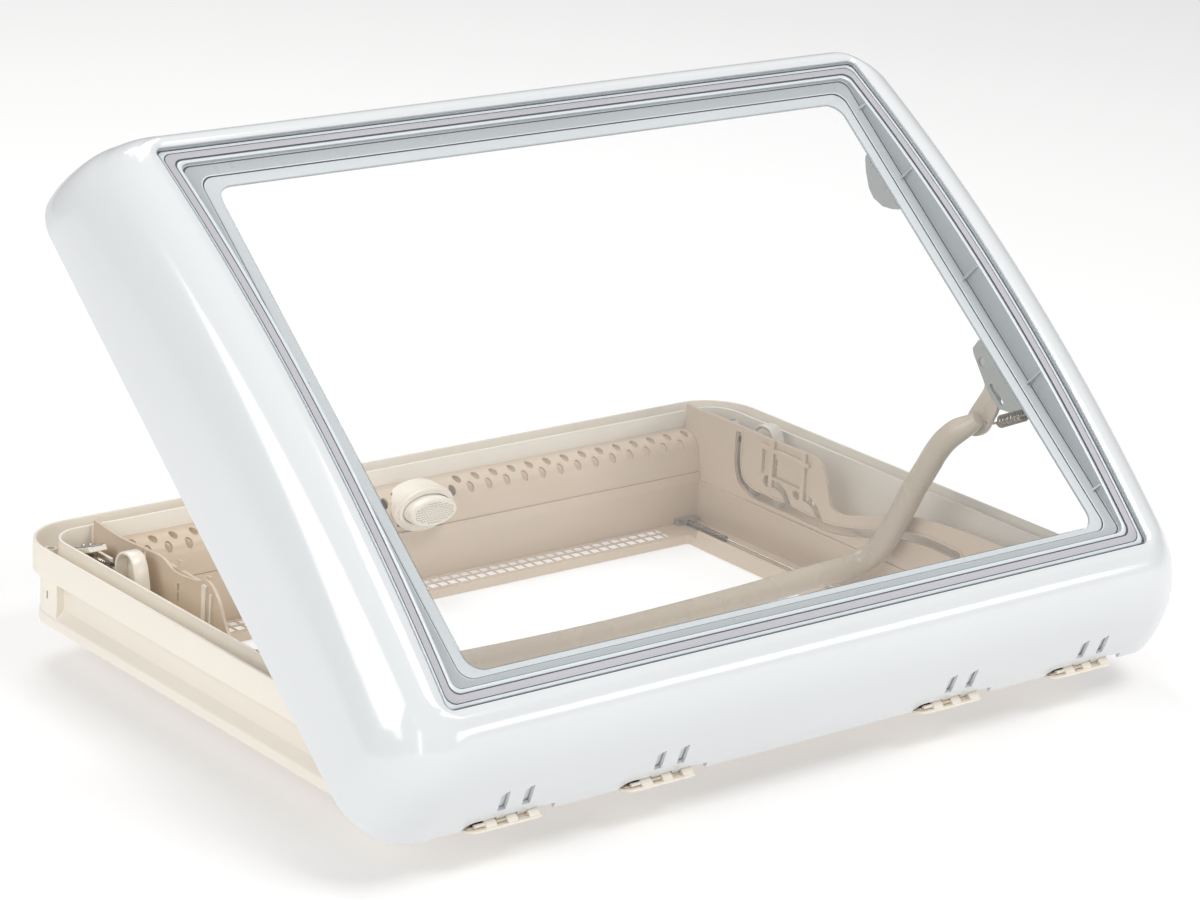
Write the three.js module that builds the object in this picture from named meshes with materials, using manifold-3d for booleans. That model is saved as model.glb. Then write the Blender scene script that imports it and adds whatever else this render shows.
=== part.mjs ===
// Roof vent cover for a caravan: a double-skinned rooflight whose lid is raised on a U-shaped bow handle.
// Millimetres, +Z up. X runs along the hinge edge, -Y is the hinge edge, +Y the edge that lifts.
// The model is shown with the lid fully open.
import * as THREE from 'three';
import Module from 'manifold-3d';
import { mergeVertices } from 'three/addons/utils/BufferGeometryUtils.js';

const wasm = await Module();
wasm.setup();

// ---------------------------------------------------------------- driving dimensions
const RIM_X = 400, RIM_Y = 280, RIM_R = 52;       // outer frame half length, half depth, corner radius
const RIM_TOP = 110, BAND_Z = 83.5;               // top of the frame, underside of its outer band
const ROOF_Z = 38.5;                              // plane of the roof skin
const WALL_X = 331, WALL_T = 3;                   // inner face of the side walls, wall thickness
const PANEL_Y = 225;                              // inner face of the lower panels
const OPEN_X = 294, OPEN_Y = 194;                 // half size of the clear opening
const LEDGE_Z = 8.5, RAIL_Z = 16;                 // ledge round the opening, raised side rails
const OPEN_DEG = 38.7;                            // lid angle in this pose
const LID_X = 437.9, LID_Y = 320;                 // hood half length, half depth
const LID_H0 = [-301.6, 36.6];                    // y, z of the hood's lower front edge
const HINGE_Y = -294, HINGE_Z = 56, PIN_R = 3;
const WIN_Y = 326.3;                              // centre of the glazing across the lid
const DOME = 19.5, DOME_HALF = 269;               // rise of the glazing at mid depth
const BLOCKS = [-313.8, -159.6, 155, 310.6];      // hinge centres along X
const PIVOT_D = 272, PIVOT_H = 77;            // bow pivot in the lid's own axes
const BOW_R = 11.2, BOW_X = 315.5;
const CENTRE_Y = -26.445, CENTRE_Z = 0;           // bottom centre of the bounding box becomes the origin

// ---------------------------------------------------------------- helpers
const root = new THREE.Group();
const lid = new THREE.Group();
lid.position.set(0, LID_H0[0], LID_H0[1]);
lid.rotation.x = THREE.MathUtils.degToRad(OPEN_DEG);
root.add(lid);

const mat = (color, roughness = 0.5, metalness = 0) => new THREE.MeshStandardMaterial({ color, roughness, metalness });
const M = {
  cream: mat(0xe6ddcd, 0.45), white: mat(0xeceff0, 0.25), grey: mat(0xa9b1b5, 0.45), gasket: mat(0x8d8b93, 0.6),
  clear: new THREE.MeshStandardMaterial({ color: 0xe9eff1, roughness: 0.05, metalness: 0, transparent: true, opacity: 0.3 }),
  steel: mat(0x9b9b98, 0.35, 1), dark: mat(0x5b564e, 0.4, 1), pin: mat(0xb9b9b6, 0.3, 1),
};

function solid(geometry) {
  const g = geometry.index ? geometry.clone() : geometry;
  for (const k of Object.keys(g.attributes)) if (k !== 'position') g.deleteAttribute(k);
  const m = mergeVertices(g, 1e-4);
  const idx = [];
  const a = m.index.array;
  for (let i = 0; i < a.length; i += 3) if (a[i] !== a[i + 1] && a[i + 1] !== a[i + 2] && a[i] !== a[i + 2]) idx.push(a[i], a[i + 1], a[i + 2]);
  return new wasm.Manifold(new wasm.Mesh({ numProp: 3, vertProperties: new Float32Array(m.attributes.position.array), triVerts: new Uint32Array(idx) }));
}
function geo(manifold) {
  const m = manifold.getMesh();
  const g = new THREE.BufferGeometry();
  g.setAttribute('position', new THREE.BufferAttribute(new Float32Array(m.vertProperties), 3));
  g.setIndex(new THREE.BufferAttribute(new Uint32Array(m.triVerts), 1));
  g.computeVertexNormals();
  return g;
}
function add(parent, name, thing, material) {
  const g = thing.getMesh ? geo(thing) : thing;
  const mesh = new THREE.Mesh(g, material);
  mesh.name = name;
  parent.add(mesh);
  return mesh;
}
const box = (x0, x1, y0, y1, z0, z1) => {
  const g = new THREE.BoxGeometry(x1 - x0, y1 - y0, z1 - z0);
  g.translate((x0 + x1) / 2, (y0 + y1) / 2, (z0 + z1) / 2);
  return solid(g);
};
const union = (...s) => s.reduce((a, b) => a.add(b));
function roundRect(hx, hy, r, cx = 0, cy = 0, path = new THREE.Shape()) {
  path.moveTo(cx - hx + r, cy - hy); path.lineTo(cx + hx - r, cy - hy);
  path.absarc(cx + hx - r, cy - hy + r, r, -Math.PI / 2, 0);
  path.lineTo(cx + hx, cy + hy - r); path.absarc(cx + hx - r, cy + hy - r, r, 0, Math.PI / 2);
  path.lineTo(cx - hx + r, cy + hy); path.absarc(cx - hx + r, cy + hy - r, r, Math.PI / 2, Math.PI);
  path.lineTo(cx - hx, cy - hy + r); path.absarc(cx - hx + r, cy - hy + r, r, Math.PI, 1.5 * Math.PI);
  return path;
}
// prism with its section in XY, from z0 to z1
function prism(shape, z0, z1, seg = 5) {
  const g = new THREE.ExtrudeGeometry(shape, { depth: z1 - z0, bevelEnabled: false, curveSegments: seg });
  g.translate(0, 0, z0);
  return solid(g);
}
// prism with its section given as [y, z] points or a Shape, from x0 to x1
function prismX(section, x0, x1, seg = 6) {
  const shape = section.isShape ? section : new THREE.Shape(section.map(([y, z]) => new THREE.Vector2(y, z)));
  const g = new THREE.ExtrudeGeometry(shape, { depth: x1 - x0, bevelEnabled: false, curveSegments: seg });
  g.applyMatrix4(new THREE.Matrix4().makeBasis(new THREE.Vector3(0, 1, 0), new THREE.Vector3(0, 0, 1), new THREE.Vector3(1, 0, 0)));
  g.translate(x0, 0, 0);
  return solid(g);
}
// prism with its section given as [x, z] points, from y0 to y1
function prismY(pts, y0, y1) {
  const g = new THREE.ExtrudeGeometry(new THREE.Shape(pts.map(([x, z]) => new THREE.Vector2(x, z))), { depth: y1 - y0, bevelEnabled: false });
  g.rotateX(Math.PI / 2);
  g.translate(0, y1, 0);
  return solid(g);
}
function rod(a, b, r, sides = 16) {
  const p = new THREE.Vector3(...a), q = new THREE.Vector3(...b);
  const g = new THREE.CylinderGeometry(r, r, p.distanceTo(q), sides);
  g.applyQuaternion(new THREE.Quaternion().setFromUnitVectors(new THREE.Vector3(0, 1, 0), q.clone().sub(p).normalize()));
  g.translate((p.x + q.x) / 2, (p.y + q.y) / 2, (p.z + q.z) / 2);
  return solid(g);
}
// closed ring through a list of rounded rectangles {x, y, r, z, cy}, each a loop of the section
const CORNER = 6, SIDE = 8;
function loopPoints(l) {
  const p = [], cy = l.cy ?? 0;
  for (const [sx, sy, a0] of [[1, 1, 0], [-1, 1, 1], [-1, -1, 2], [1, -1, 3]]) {
    for (let i = 0; i <= CORNER; i++) {
      const a = (a0 + i / CORNER) * Math.PI / 2;
      p.push([sx * (l.x - l.r) + l.r * Math.cos(a), cy + sy * (l.y - l.r) + l.r * Math.sin(a)]);
    }
    if (a0 === 1 || a0 === 3) {   // extra points down the two short sides, where the lid is domed
      const x = sx * l.x, y0 = cy + sy * (l.y - l.r), y1 = cy - sy * (l.y - l.r);
      for (let i = 1; i < SIDE; i++) p.push([x, y0 + (y1 - y0) * i / SIDE]);
    }
  }
  return p.map(([x, y]) => [x, y, l.z]);
}
function ring(loops, warp = (p) => p) {
  const rows = loops.map((l) => loopPoints(l).map(warp)), n = rows[0].length, m = rows.length;
  const pos = new Float32Array(rows.flat(2)), idx = [];
  for (let j = 0; j < m; j++) for (let i = 0; i < n; i++) {
    const a = j * n + i, b = j * n + (i + 1) % n, c = ((j + 1) % m) * n + i, d = ((j + 1) % m) * n + (i + 1) % n;
    idx.push(a, b, d, a, d, c);
  }
  const g = new THREE.BufferGeometry();
  g.setAttribute('position', new THREE.BufferAttribute(pos, 3));
  g.setIndex(idx);
  let v = 0;
  for (let i = 0; i < idx.length; i += 3) {
    const [a, b, c] = [0, 1, 2].map((k) => new THREE.Vector3().fromArray(pos, idx[i + k] * 3));
    v += a.dot(b.cross(c));
  }
  if (v < 0) { for (let i = 0; i < idx.length; i += 3) [idx[i + 1], idx[i + 2]] = [idx[i + 2], idx[i + 1]]; g.setIndex(idx); }
  return solid(g);
}
// a section of [inset, z] points carried round the outer frame's outline
const frameRing = (pts, r = RIM_R) => ring(pts.map(([d, z]) => ({ x: RIM_X - d, y: RIM_Y - d, r: r - d, z })));
const mirrorX = (s) => s.mirror([1, 0, 0]);

// ---------------------------------------------------------------- outer frame with gutter
{
  let f = frameRing([
    [0, 108.8], [1.2, RIM_TOP], [2.4, RIM_TOP], [3, 109], [3, 86], [21.6, 86], [21.6, 109.2], [22.4, RIM_TOP], [23.6, RIM_TOP], [24.4, 109.2],
    [24.4, ROOF_Z], [21.4, ROOF_Z], [21.4, 83], [17, 83], [17, 53.5], [9, 45], [9, ROOF_Z], [6, ROOF_Z], [6, 46.5], [7, 48.3], [14.2, 55.5],
    [14.2, BAND_Z], [0.8, BAND_Z], [0, 84.5],
  ]);
  // solid posts at the four corners, where the recess in the side ends
  const post = frameRing([[5.5, 47], [5.5, 84.2], [14.8, 84.2], [14.8, 47]]);
  for (const sx of [-1, 1]) for (const sy of [-1, 1])
    f = f.add(post.intersect(box(Math.min(sx * 340, sx * 410), Math.max(sx * 340, sx * 410), Math.min(sy * 214, sy * 300), Math.max(sy * 214, sy * 300), 30, 100)));
  // small drain slots through the corner posts
  for (const sx of [-1, 1]) f = f.subtract(box(Math.min(sx * 388, sx * 396), Math.max(sx * 388, sx * 396), 228, 231, 62, 69));
  add(root, 'outer_frame', f, M.cream);
}

// ---------------------------------------------------------------- inner liner, ledge and opening
{
  const tube = (x, y, x2, y2, z0, z1, r, r2) => {
    const s = roundRect(x, y, r); s.holes.push(roundRect(x2, y2, r2, 0, 0, new THREE.Path())); return prism(s, z0, z1, 3);
  };
  let l = tube(WALL_X + WALL_T, PANEL_Y + WALL_T, WALL_X, PANEL_Y, 6, 48.4, 5, 2);
  l = l.add(tube(WALL_X + 1, PANEL_Y + 1, OPEN_X, OPEN_Y, 6, LEDGE_Z, 2, 3));
  l = l.add(tube(OPEN_X + 3, OPEN_Y + 3, OPEN_X, OPEN_Y, 0, LEDGE_Z, 6, 3));
  for (const s of [-1, 1]) {
    l = l.add(box(Math.min(s * OPEN_X, s * (OPEN_X + 3)), Math.max(s * OPEN_X, s * (OPEN_X + 3)), -182, 182, 1, RAIL_Z));
    l = l.add(box(-WALL_X + 0.4, WALL_X - 0.4, Math.min(s * PANEL_Y, s * (PANEL_Y + WALL_T)), Math.max(s * PANEL_Y, s * (PANEL_Y + WALL_T)), 47, 57));
  }
  // roof flange between the liner and the outer frame
  l = l.add(tube(375.2, 255.2, WALL_X + 1, PANEL_Y + 1, ROOF_Z, 41.5, 27.2, 4));
  // pocket for the vent grille
  l = l.subtract(box(-280, 280, 198.6, 224.2, 5, 10));
  add(root, 'liner_frame', l, M.cream);
}
{
  let g = box(-279.7, 279.7, 198.9, 223.9, 6, LEDGE_Z);
  const pitch = 11.1;
  for (let i = -24; i <= 24; i++) for (const y of [[200.4, 210.8], [212.2, 222.6]]) g = g.subtract(box(i * pitch - 4.6, i * pitch + 4.6, y[0], y[1], 5, 9.5));
  add(root, 'vent_grille', g, M.cream);
}

// ---------------------------------------------------------------- side walls with the bow's guide track
const trackBand = (pts, w) => {
  // constant-width slot along a smooth line in the wall's plane, with round ends
  const c = new THREE.CatmullRomCurve3(pts.map(([y, z]) => new THREE.Vector3(y, z, 0)), false, 'centripetal');
  const n = Math.max(6, Math.round(c.getLength() / 14)), L = [], R = [];
  for (let i = 0; i <= n; i++) {
    const p = c.getPointAt(i / n), t = c.getTangentAt(i / n);
    L.push([p.x - t.y * w / 2, p.y + t.x * w / 2]); R.push([p.x + t.y * w / 2, p.y - t.x * w / 2]);
  }
  const end = (u) => { const p = c.getPointAt(u); return rod([320, p.x, p.y], [345, p.x, p.y], w / 2 - 0.02, 12); };
  return prismX([...L, ...R.reverse()], 320, 345).add(end(0)).add(end(1));
};
const wallTop = [[-252, 109.5], [-182, 109.5], [-131, 107.5], [-92, 104.5], [-53, 97.5], [-20, 87.5], [11, 77.6], [29, 74.6], [37, 76.4], [41.5, 82], [45, 92.6],
  [49, 105], [55, 113.5], [62, 117.6], [70, 118.8], [100, 118.6], [132, 118.2], [165, 118.6], [214, 118.3], [232, 117.4], [246, 118.6], [252, 118]];
const wallTopLeft = [...wallTop.slice(0, 9), [49, 91], [54, 101], [62, 110.4], [71, 116.4], [79, 116.6], [85, 113.4], [104, 110.4], [126, 109.9], [137, 114], [143, 115.8],
  [174, 115], [206, 113.2], [227, 114], [252, 116]];
for (const side of [1, -1]) {
  let w = prismX([[-252, 48.7], ...(side > 0 ? wallTop : wallTopLeft), [252, 48.7]], WALL_X, WALL_X + WALL_T);
  w = w.subtract(trackBand([[172.5, 109], [172.5, 92], [171.5, 80], [166, 67], [152, 59.5], [128, 58], [95, 58], [60, 57.2], [36, 57.6], [8, 62.5], [-20, 70],
    [-52, 79], [-92, 84], [-132, 83.5]], 8.5));
  w = w.subtract(trackBand([[129, 76.2], [116, 76], [104, 71], [96, 60]], 7.5));
  w = w.subtract(trackBand([[86.5, 76.2], [74, 76], [61, 71], [52, 60]], 7.5));
  for (const y of [129, 86.5]) w = w.subtract(rod([320, y, 76.2], [345, y, 76.2], 5.6, 12));
  // stiffening rib and a thin sight slot on the outer face
  w = w.subtract(box(330, 335, 116.2, 118.6, 85, 93)).subtract(box(330, 335, 116.2, 118.6, 94.5, 101));
  w = w.add(box(WALL_X + 2.5, WALL_X + 5.2, 73, 79, 70, 113)).add(box(WALL_X + 2.5, WALL_X + 5.2, 64.5, 67, 70, 108));
  add(root, `guide_wall_${side > 0 ? 'right' : 'left'}`, side > 0 ? w : mirrorX(w), M.cream);
}

// ---------------------------------------------------------------- rounded rails on the far and hinge sides
const railSection = [[255.2, 94.2], [248.5, 93.9], [239.6, 91.4], [232.4, 84.8], [228.6, 73], [226.6, 57.3],
  [229.2, 57.3], [231.2, 72.4], [234.6, 83.2], [241, 88.9], [248.8, 91.2], [255.2, 91.5]];
{
  let r = prismX(railSection, -330.7, 330.7);
  const oval = (x, y, z, tilt) => {
    const g = new THREE.CylinderGeometry(1, 1, 12, 8);
    g.scale(3.7, 1, 5.4);
    g.rotateX(Math.PI / 2 + tilt);
    g.translate(x, y, z);
    return solid(g);
  };
  for (let i = 0; i < 14; i++) for (const s of [-1, 1]) {
    r = r.subtract(oval(s * (38 + i * 21), 234.2, 84.9, THREE.MathUtils.degToRad(-42)));
    r = r.subtract(oval(s * (49 + i * 21), 242.4, 91.2, THREE.MathUtils.degToRad(-72)));
  }
  // opening behind the push button
  r = r.subtract(box(-27.5, 27.5, 220, 240, 63, 92.5));
  add(root, 'vent_rail', r, M.cream);
  add(root, 'front_rail', prismX(railSection.map(([y, z]) => [-y, z]), -330.7, 330.7), M.cream);
}

// ---------------------------------------------------------------- push button and its collar
{
  const ellipse = (a, b, y0, y1, cz = 77.8, seg = 28) => {
    const g = new THREE.CylinderGeometry(1, 1, y1 - y0, seg);
    g.scale(a, 1, b);
    g.translate(0, (y0 + y1) / 2, cz);
    return solid(g);
  };
  // collar: flared oval tube standing on the rail, open through its middle
  let c = ellipse(30.5, 19.5, 219.5, 243);
  c = c.add(ellipse(33, 22, 223, 243)).subtract(ellipse(26.8, 14.2, 210, 250));
  const rail = prismX([[255.2, 94.6], [248.4, 94.3], [239.3, 91.8], [232, 85], [228.2, 73.1], [226.2, 57.3],
    [224.7, 57.3], [224.7, 50], [270, 50], [270, 94.6]], -60, 60);
  c = c.subtract(rail);
  add(root, 'button_collar', c, M.cream);
  let b = ellipse(26, 13.4, 209.6, 236).add(ellipse(24.6, 12, 208, 212));
  add(root, 'lock_button', b, M.cream);
}

// ---------------------------------------------------------------- mechanism in the channel behind each side wall
for (const side of [1, -1]) {
  const tag = side > 0 ? 'right' : 'left';
  const put = (name, s, m) => add(root, `${name}_${tag}`, side > 0 ? s : mirrorX(s), m);
  // sliding gate that holds the bow in its part-open notches
  let gate = union(box(328, 330.6, 119.5, 124.5, 73.5, 119.5), box(328, 330.6, 75, 80, 73.5, 119.5),
    prismX([[138, 111.6], [138, 107.8], [70, 106.6], [70, 110.4]], 327.4, 330.6), prismX([[124, 84], [124, 80.8], [75, 79.6], [75, 82.8]], 328.4, 330.6),
    box(327.4, 330.6, 134.6, 138, 84, 110));
  put('latch_gate', gate, M.cream);
  // angled bracket and its riveted plate in the far corner
  put('anchor_bracket', union(box(343, 364, 236.5, 241.5, 42, 97), box(342, 345.6, 206, 241.5, 42, 96), prismX([[241.5, 93.5], [241.5, 97.4], [213, 108.2], [210, 104]], 344.8, 363.5)), M.cream);
  put('anchor_plate', prismX([[241, 97.8], [241, 99], [213, 109.7], [213, 108.5]], 349, 361).add(rod([355, 233.6, 100.6], [355, 234.6, 103.4], 2.3, 12)).add(rod([355, 222.6, 104.8], [355, 223.6, 107.6], 2.3, 12)), M.steel);
  // sprung plunger: lug with its pin, spring, and the lever that it pulls
  put('plunger_lug', union(box(349, 363, 222.4, 227, 42, 97.2), rod([347.6, 224.7, 92.4], [365, 224.7, 92.4], 2.2, 10)), M.cream);
  put('plunger_spring', rod([356, 221.6, 94], [356, 187, 96.4], 5, 12), M.dark);
  let lev = prismX([[171, 43.2], [168.6, 100], [173, 111], [166, 116.5], [150, 117], [141, 111], [137, 60], [141, 43.2]], 346, 352);
  lev = lev.add(prismX([[171, 84], [170, 102], [172, 110], [166, 115.5], [161, 108], [160, 84]], 345, 368)).add(prismX([[170, 110], [166, 116.5], [141, 113], [141, 110]], 345, 368));
  put('release_lever', lev, M.cream);
  // blind guide wire with its tension spring, lying in the side channel
  put('guide_wire', rod([313, -186, 11.5], [313, 160, 11.5], 0.9, 8), M.steel);
  put('wire_spring', rod([313, 160.4, 11.5], [313, 214, 11.5], 2.6, 10), M.dark);
  put('wire_clip', union(box(301, 325, 218, 223.5, LEDGE_Z + 0.3, 14.5), box(309, 317, 214.3, 219, LEDGE_Z + 0.3, 14.5)), M.steel);
}
// short hollow boss standing in the gutter at the far left corner
add(root, 'gutter_boss', rod([-374, 255.6, 86.4], [-374, 255.6, 96.5], 5.4, 20).subtract(rod([-374, 255.6, 88], [-374, 255.6, 98], 3.6, 16)), M.cream);

// ---------------------------------------------------------------- hinge blocks and pins
BLOCKS.forEach((c, i) => {
  const lug = (x0, x1) => prismX([[-308.5, 38.7], [-308.5, 40.2], [-307.7, 40.9], [-302.8, 43.4], [-300.8, 47.6], [-298.6, 55], [-296.6, 59.6], [-294, 60.8], [-291, 59.8], [-288.8, 56.4], [-284.6, 46], [-283, 38.7]], x0, x1);
  let b = union(box(c - 31, c + 39, -308.5, -275.2, 38.7, 40.4), box(c - 31, c + 39, -278, -275.2, 40, 46.6), lug(c - 14.5, c - 5.4), lug(c + 5.4, c + 17.2), lug(c + 27.8, c + 37.6));
  b = b.add(prismX([[-306, 39.5], [-303.6, 41.2], [-284, 44], [-284, 39.5]], c - 31, c - 28.6));
  b = b.subtract(rod([c - 60, HINGE_Y, HINGE_Z], [c + 60, HINGE_Y, HINGE_Z], PIN_R + 0.3, 16));
  add(root, `hinge_block_${i + 1}`, b, M.cream);
  add(root, `hinge_pin_${i + 1}`, rod([c - 22, HINGE_Y, HINGE_Z], [c + 37.8, HINGE_Y, HINGE_Z], PIN_R, 16), M.pin);
});

// ---------------------------------------------------------------- lid (own axes: x along the hinge, y depth from the front edge, z height off the rim plane)
const dome = (y) => DOME * Math.max(0, 1 - ((y - WIN_Y) / DOME_HALF) ** 2);
const smooth = (t) => { const k = Math.min(1, Math.max(0, t)); return k * k * (3 - 2 * k); };
const domed = ([x, y, z]) => [x, y, z + dome(y) * smooth((z - 20) / 70) * smooth((Math.abs(x) - 0) / 330 + 0.6)];
{
  const L = (x, y, r, z, cy = 320) => ({ x, y, r, z, cy });
  let h = ring([
    L(437.9, 320, 54, 0), L(436.8, 318.9, 54, 14), L(433.4, 315.6, 54, 34), L(428.4, 310.8, 53, 52), L(421.6, 304.2, 51, 67), L(412.6, 296.4, 46, 80.5, 320.8), L(402, 288, 40, 90, 322.5),
    L(392, 281, 31, 95.2, 324.4), L(384, 275, 20, 96.8, 325.5), L(376.3, 269.6, 8, 95.4, 326.2), L(376.3, 269.6, 8, 91.6, 326.2),
    L(383.4, 274.2, 19, 93.4, 325.5), L(390.6, 279.6, 29.6, 92, 324.4), L(399.8, 286, 38, 87.4, 322.5), L(410, 294, 43.6, 78.4, 320.8), L(418.6, 301.4, 48.4, 65.6, 320),
    L(425.2, 307.8, 50, 51), L(430.2, 312.5, 51, 33.6), L(433.6, 315.8, 51, 14), L(434.8, 316.9, 51, 0),
  ], domed);
  for (const c of BLOCKS) {
    h = h.subtract(prismY([[c - 34, -5], [c + 56.5, -5], [c + 55, 7], [c - 29, 7], [c - 33.6, 4]], -5, 12));
    for (const x of [c - 5.6, c + 18]) h = h.subtract(prismY([[x, 17.5], [x + 6.4, 17.5], [x + 4.4, 36], [x - 2, 36]], -5, 14));
  }
  add(lid, 'hood', h, M.white);
}
// strip following the dome, between heights a and b above the rim plane
const arcStrip = (y0, y1, a, b, n = 14) => {
  const top = [], bot = [];
  for (let i = 0; i <= n; i++) { const y = y0 + (y1 - y0) * i / n; top.push([y, b + dome(y)]); bot.push([y, a + dome(y)]); }
  return [...bot, ...top.reverse()];
};
add(lid, 'outer_pane', prismX(arcStrip(WIN_Y - 269.2, WIN_Y + 269.2, 91.6, 94.6), -375.8, 375.8).intersect(prism(roundRect(375.8, 269.2, 8, 0, WIN_Y), 60, 140, 3)), M.clear);
{
  // seal between the outer pane and the frame
  const follow = ([x, y, z]) => [x, y, z + dome(y)];
  add(lid, 'gasket', ring([{ x: 372, y: 265.6, r: 8, z: 91.3, cy: WIN_Y }, { x: 372, y: 265.6, r: 8, z: 90.9, cy: WIN_Y },
    { x: 359, y: 252.6, r: 8, z: 90.9, cy: WIN_Y }, { x: 359, y: 252.6, r: 8, z: 91.3, cy: WIN_Y }], follow), M.gasket);
  // glazing frame: flat flange round the window, with an upstand that meets the domed pane
  const up = ([x, y, z]) => [x, y, z > 90.45 ? z + dome(y) : z];
  let f = ring([{ x: 335.2, y: 234.2, r: 16, z: 87.4, cy: 320.4 }, { x: 335.2, y: 234.2, r: 16, z: 90.4, cy: 320.4 }, { x: 363, y: 256.6, r: 9, z: 90.4, cy: WIN_Y },
    { x: 363, y: 256.6, r: 9, z: 90.6, cy: WIN_Y }, { x: 371, y: 264.6, r: 10, z: 90.6, cy: WIN_Y }, { x: 371, y: 264.6, r: 10, z: 87.4, cy: WIN_Y }], up);
  for (const s of [-1, 1]) for (const y of [120, 235, 350, 465, 545])
    f = f.add(prismX([[y - 1, 90], [y + 1, 90], [y + 1, 90.2 + dome(y)], [y - 1, 90.2 + dome(y)]], s > 0 ? 350 : -364, s > 0 ? 364 : -350));
  add(lid, 'pane_frame', f, M.grey);
}
{
  const s = roundRect(334.7, 233.7, 15.6, 0, 320.4);
  add(lid, 'inner_pane', prism(s, 87.8, 90, 4), M.clear);
}
// brackets under the glazing frame, and the bow's pivots
for (const side of [1, -1]) {
  const tag = side > 0 ? 'right' : 'left';
  const put = (name, s, m) => add(lid, `${name}_${tag}`, side > 0 ? s : mirrorX(s), m);
  const foot = (y0, y1) => box(333.6, 350, y0, y1, 84.6, 87.1);
  let b = prismX([[288.5, 87.1], [287.6, 76], [283, 73.2], [254.6, 65.6], [241, 63.6], [228.6, 65], [219, 73.5], [213, 87.1]], 333.6, 336.4).add(foot(213.6, 288));
  b = b.subtract(rod([330, PIVOT_D, PIVOT_H], [345, PIVOT_D, PIVOT_H], 4.3, 16));
  b = b.subtract(union(box(330, 345, 231, 249, 69, 73.6), rod([330, 231, 71.3], [345, 231, 71.3], 2.29, 10), rod([330, 249, 71.3], [345, 249, 71.3], 2.29, 10)));
  put('lower_bracket', b, M.grey);
  put('upper_bracket', prismX([[497, 87.1], [495.6, 84], [486, 76], [473, 68.6], [463, 67.2], [450, 71.4], [440, 80], [434.5, 87.1]], 334.3, 337.1).add(box(334.3, 350, 436, 496, 84.6, 87.1)), M.grey);
  put('bow_pin', rod([334.4, PIVOT_D, PIVOT_H], [342, PIVOT_D, PIVOT_H], 4, 24).add(rod([341.4, PIVOT_D, PIVOT_H], [343.6, PIVOT_D, PIVOT_H], 6.2, 16)), M.pin);
}
// hinge leaves inside the hood's front skirt
const hingeD = 18.07, hingeH = 10.39;
BLOCKS.forEach((c, i) => {
  const arm = (x) => prismX([[8.4, 34], [5.1, 16], [5, 8.4], [4.6, 6.8], [2.6, 5.4], [2.2, 4.4], [4.2, 3.8], [8, 5], [14, 5.4], [hingeD, 4.9], [22, 6.6], [23.6, hingeH], [22, 14.2], [hingeD, 15.9], [13.4, 19], [10.6, 30]], x - 4.3, x + 4.3);
  let f = union(prismX([[5.1, 16], [8.5, 34], [11.6, 45], [14.1, 45], [11, 34], [7.6, 16]], c - 16, c + 38), arm(c), arm(c + 22.5));
  f = f.subtract(rod([c - 60, hingeD, hingeH], [c + 60, hingeD, hingeH], PIN_R + 0.3, 16));
  add(lid, `hinge_leaf_${i + 1}`, f, M.white);
});

// ---------------------------------------------------------------- bow handle
{
  const a = THREE.MathUtils.degToRad(OPEN_DEG);
  const py = LID_H0[0] + PIVOT_D * Math.cos(a) - PIVOT_H * Math.sin(a), pz = LID_H0[1] + PIVOT_D * Math.sin(a) + PIVOT_H * Math.cos(a);
  const bow = new THREE.Group();
  bow.position.set(0, py, pz);
  bow.rotation.x = THREE.MathUtils.degToRad(-64.2);
  root.add(bow);
  // own axes: x along the hinge, y from the pivots to the cross bar
  const half = [[BOW_X + 15, 44, -26.5], [BOW_X + 12, 52, -23.8], [BOW_X + 6, 63.7, -18.7], [BOW_X + 1.7, 77.4, -15], [BOW_X, 93, -13], [BOW_X, 110, -11.8], [BOW_X, 140, -9.6], [BOW_X, 180, -9],
    [BOW_X, 204, -7.4], [BOW_X - 0.6, 219, -5.4], [BOW_X - 5, 231.5, -2.6], [BOW_X - 16, 239.4, -1.5], [BOW_X - 38, 242.2, -1.5], [236, 244.6, -1.5], [180, 248.6, -1.5], [120, 251.6, -1.5], [55, 253.8, -1.5]];
  const pts = [...half, [0, 254.5, -1.5], ...half.slice().reverse().map(([x, y, z]) => [-x, y, z])].map((p) => new THREE.Vector3(...p));
  const curve = new THREE.CatmullRomCurve3(pts, false, 'centripetal');
  const sec = new THREE.Shape();
  for (let i = 0; i < 10; i++) { const t = (i + 0.5) / 10 * 2 * Math.PI; (i ? sec.lineTo : sec.moveTo).call(sec, BOW_R * Math.cos(t), BOW_R * Math.sin(t)); }
  sec.closePath();
  let b = solid(new THREE.ExtrudeGeometry(sec, { steps: 64, bevelEnabled: false, extrudePath: curve }));
  for (const s of [1, -1]) {
    // bell-crank lug running from the bar's end to the pivot
    let t = prismX([[-6.2, -2], [-4.5, 4.5], [0, 6.4], [4.5, 4.6], [8, 0], [13, -7], [19.3, -12], [35, -11], [51, -9.9], [62, -11.5], [68, -17], [66, -25], [60, -32], [52.6, -35.1], [40, -35.4], [26.5, -34.8], [13, -28], [1, -14]], 337.4, 341);
    t = t.subtract(rod([330, 0, 0], [350, 0, 0], 4.35, 24));
    // hole for the spring's hook
    t = t.subtract(rod([330, 46, -31.6], [350, 46, -31.6], 1.5, 10));
    b = b.add(s > 0 ? t : mirrorX(t));
  }
  add(bow, 'bow', b, M.cream);
}
// coil springs between the bow's lugs and the lid
for (const side of [1, -1]) {
  const s = rod([348, 230.2, 37], [348, 207, 88.2], 5.6, 12).intersect(box(330, 360, 180, 250, 20, 79.5));
  add(lid, `bow_spring_${side > 0 ? 'right' : 'left'}`, side > 0 ? s : mirrorX(s), M.steel);
}

root.position.set(0, -CENTRE_Y, -CENTRE_Z);
export default root;
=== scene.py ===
import bpy, bmesh, math, json
from mathutils import Vector, Matrix


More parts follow.
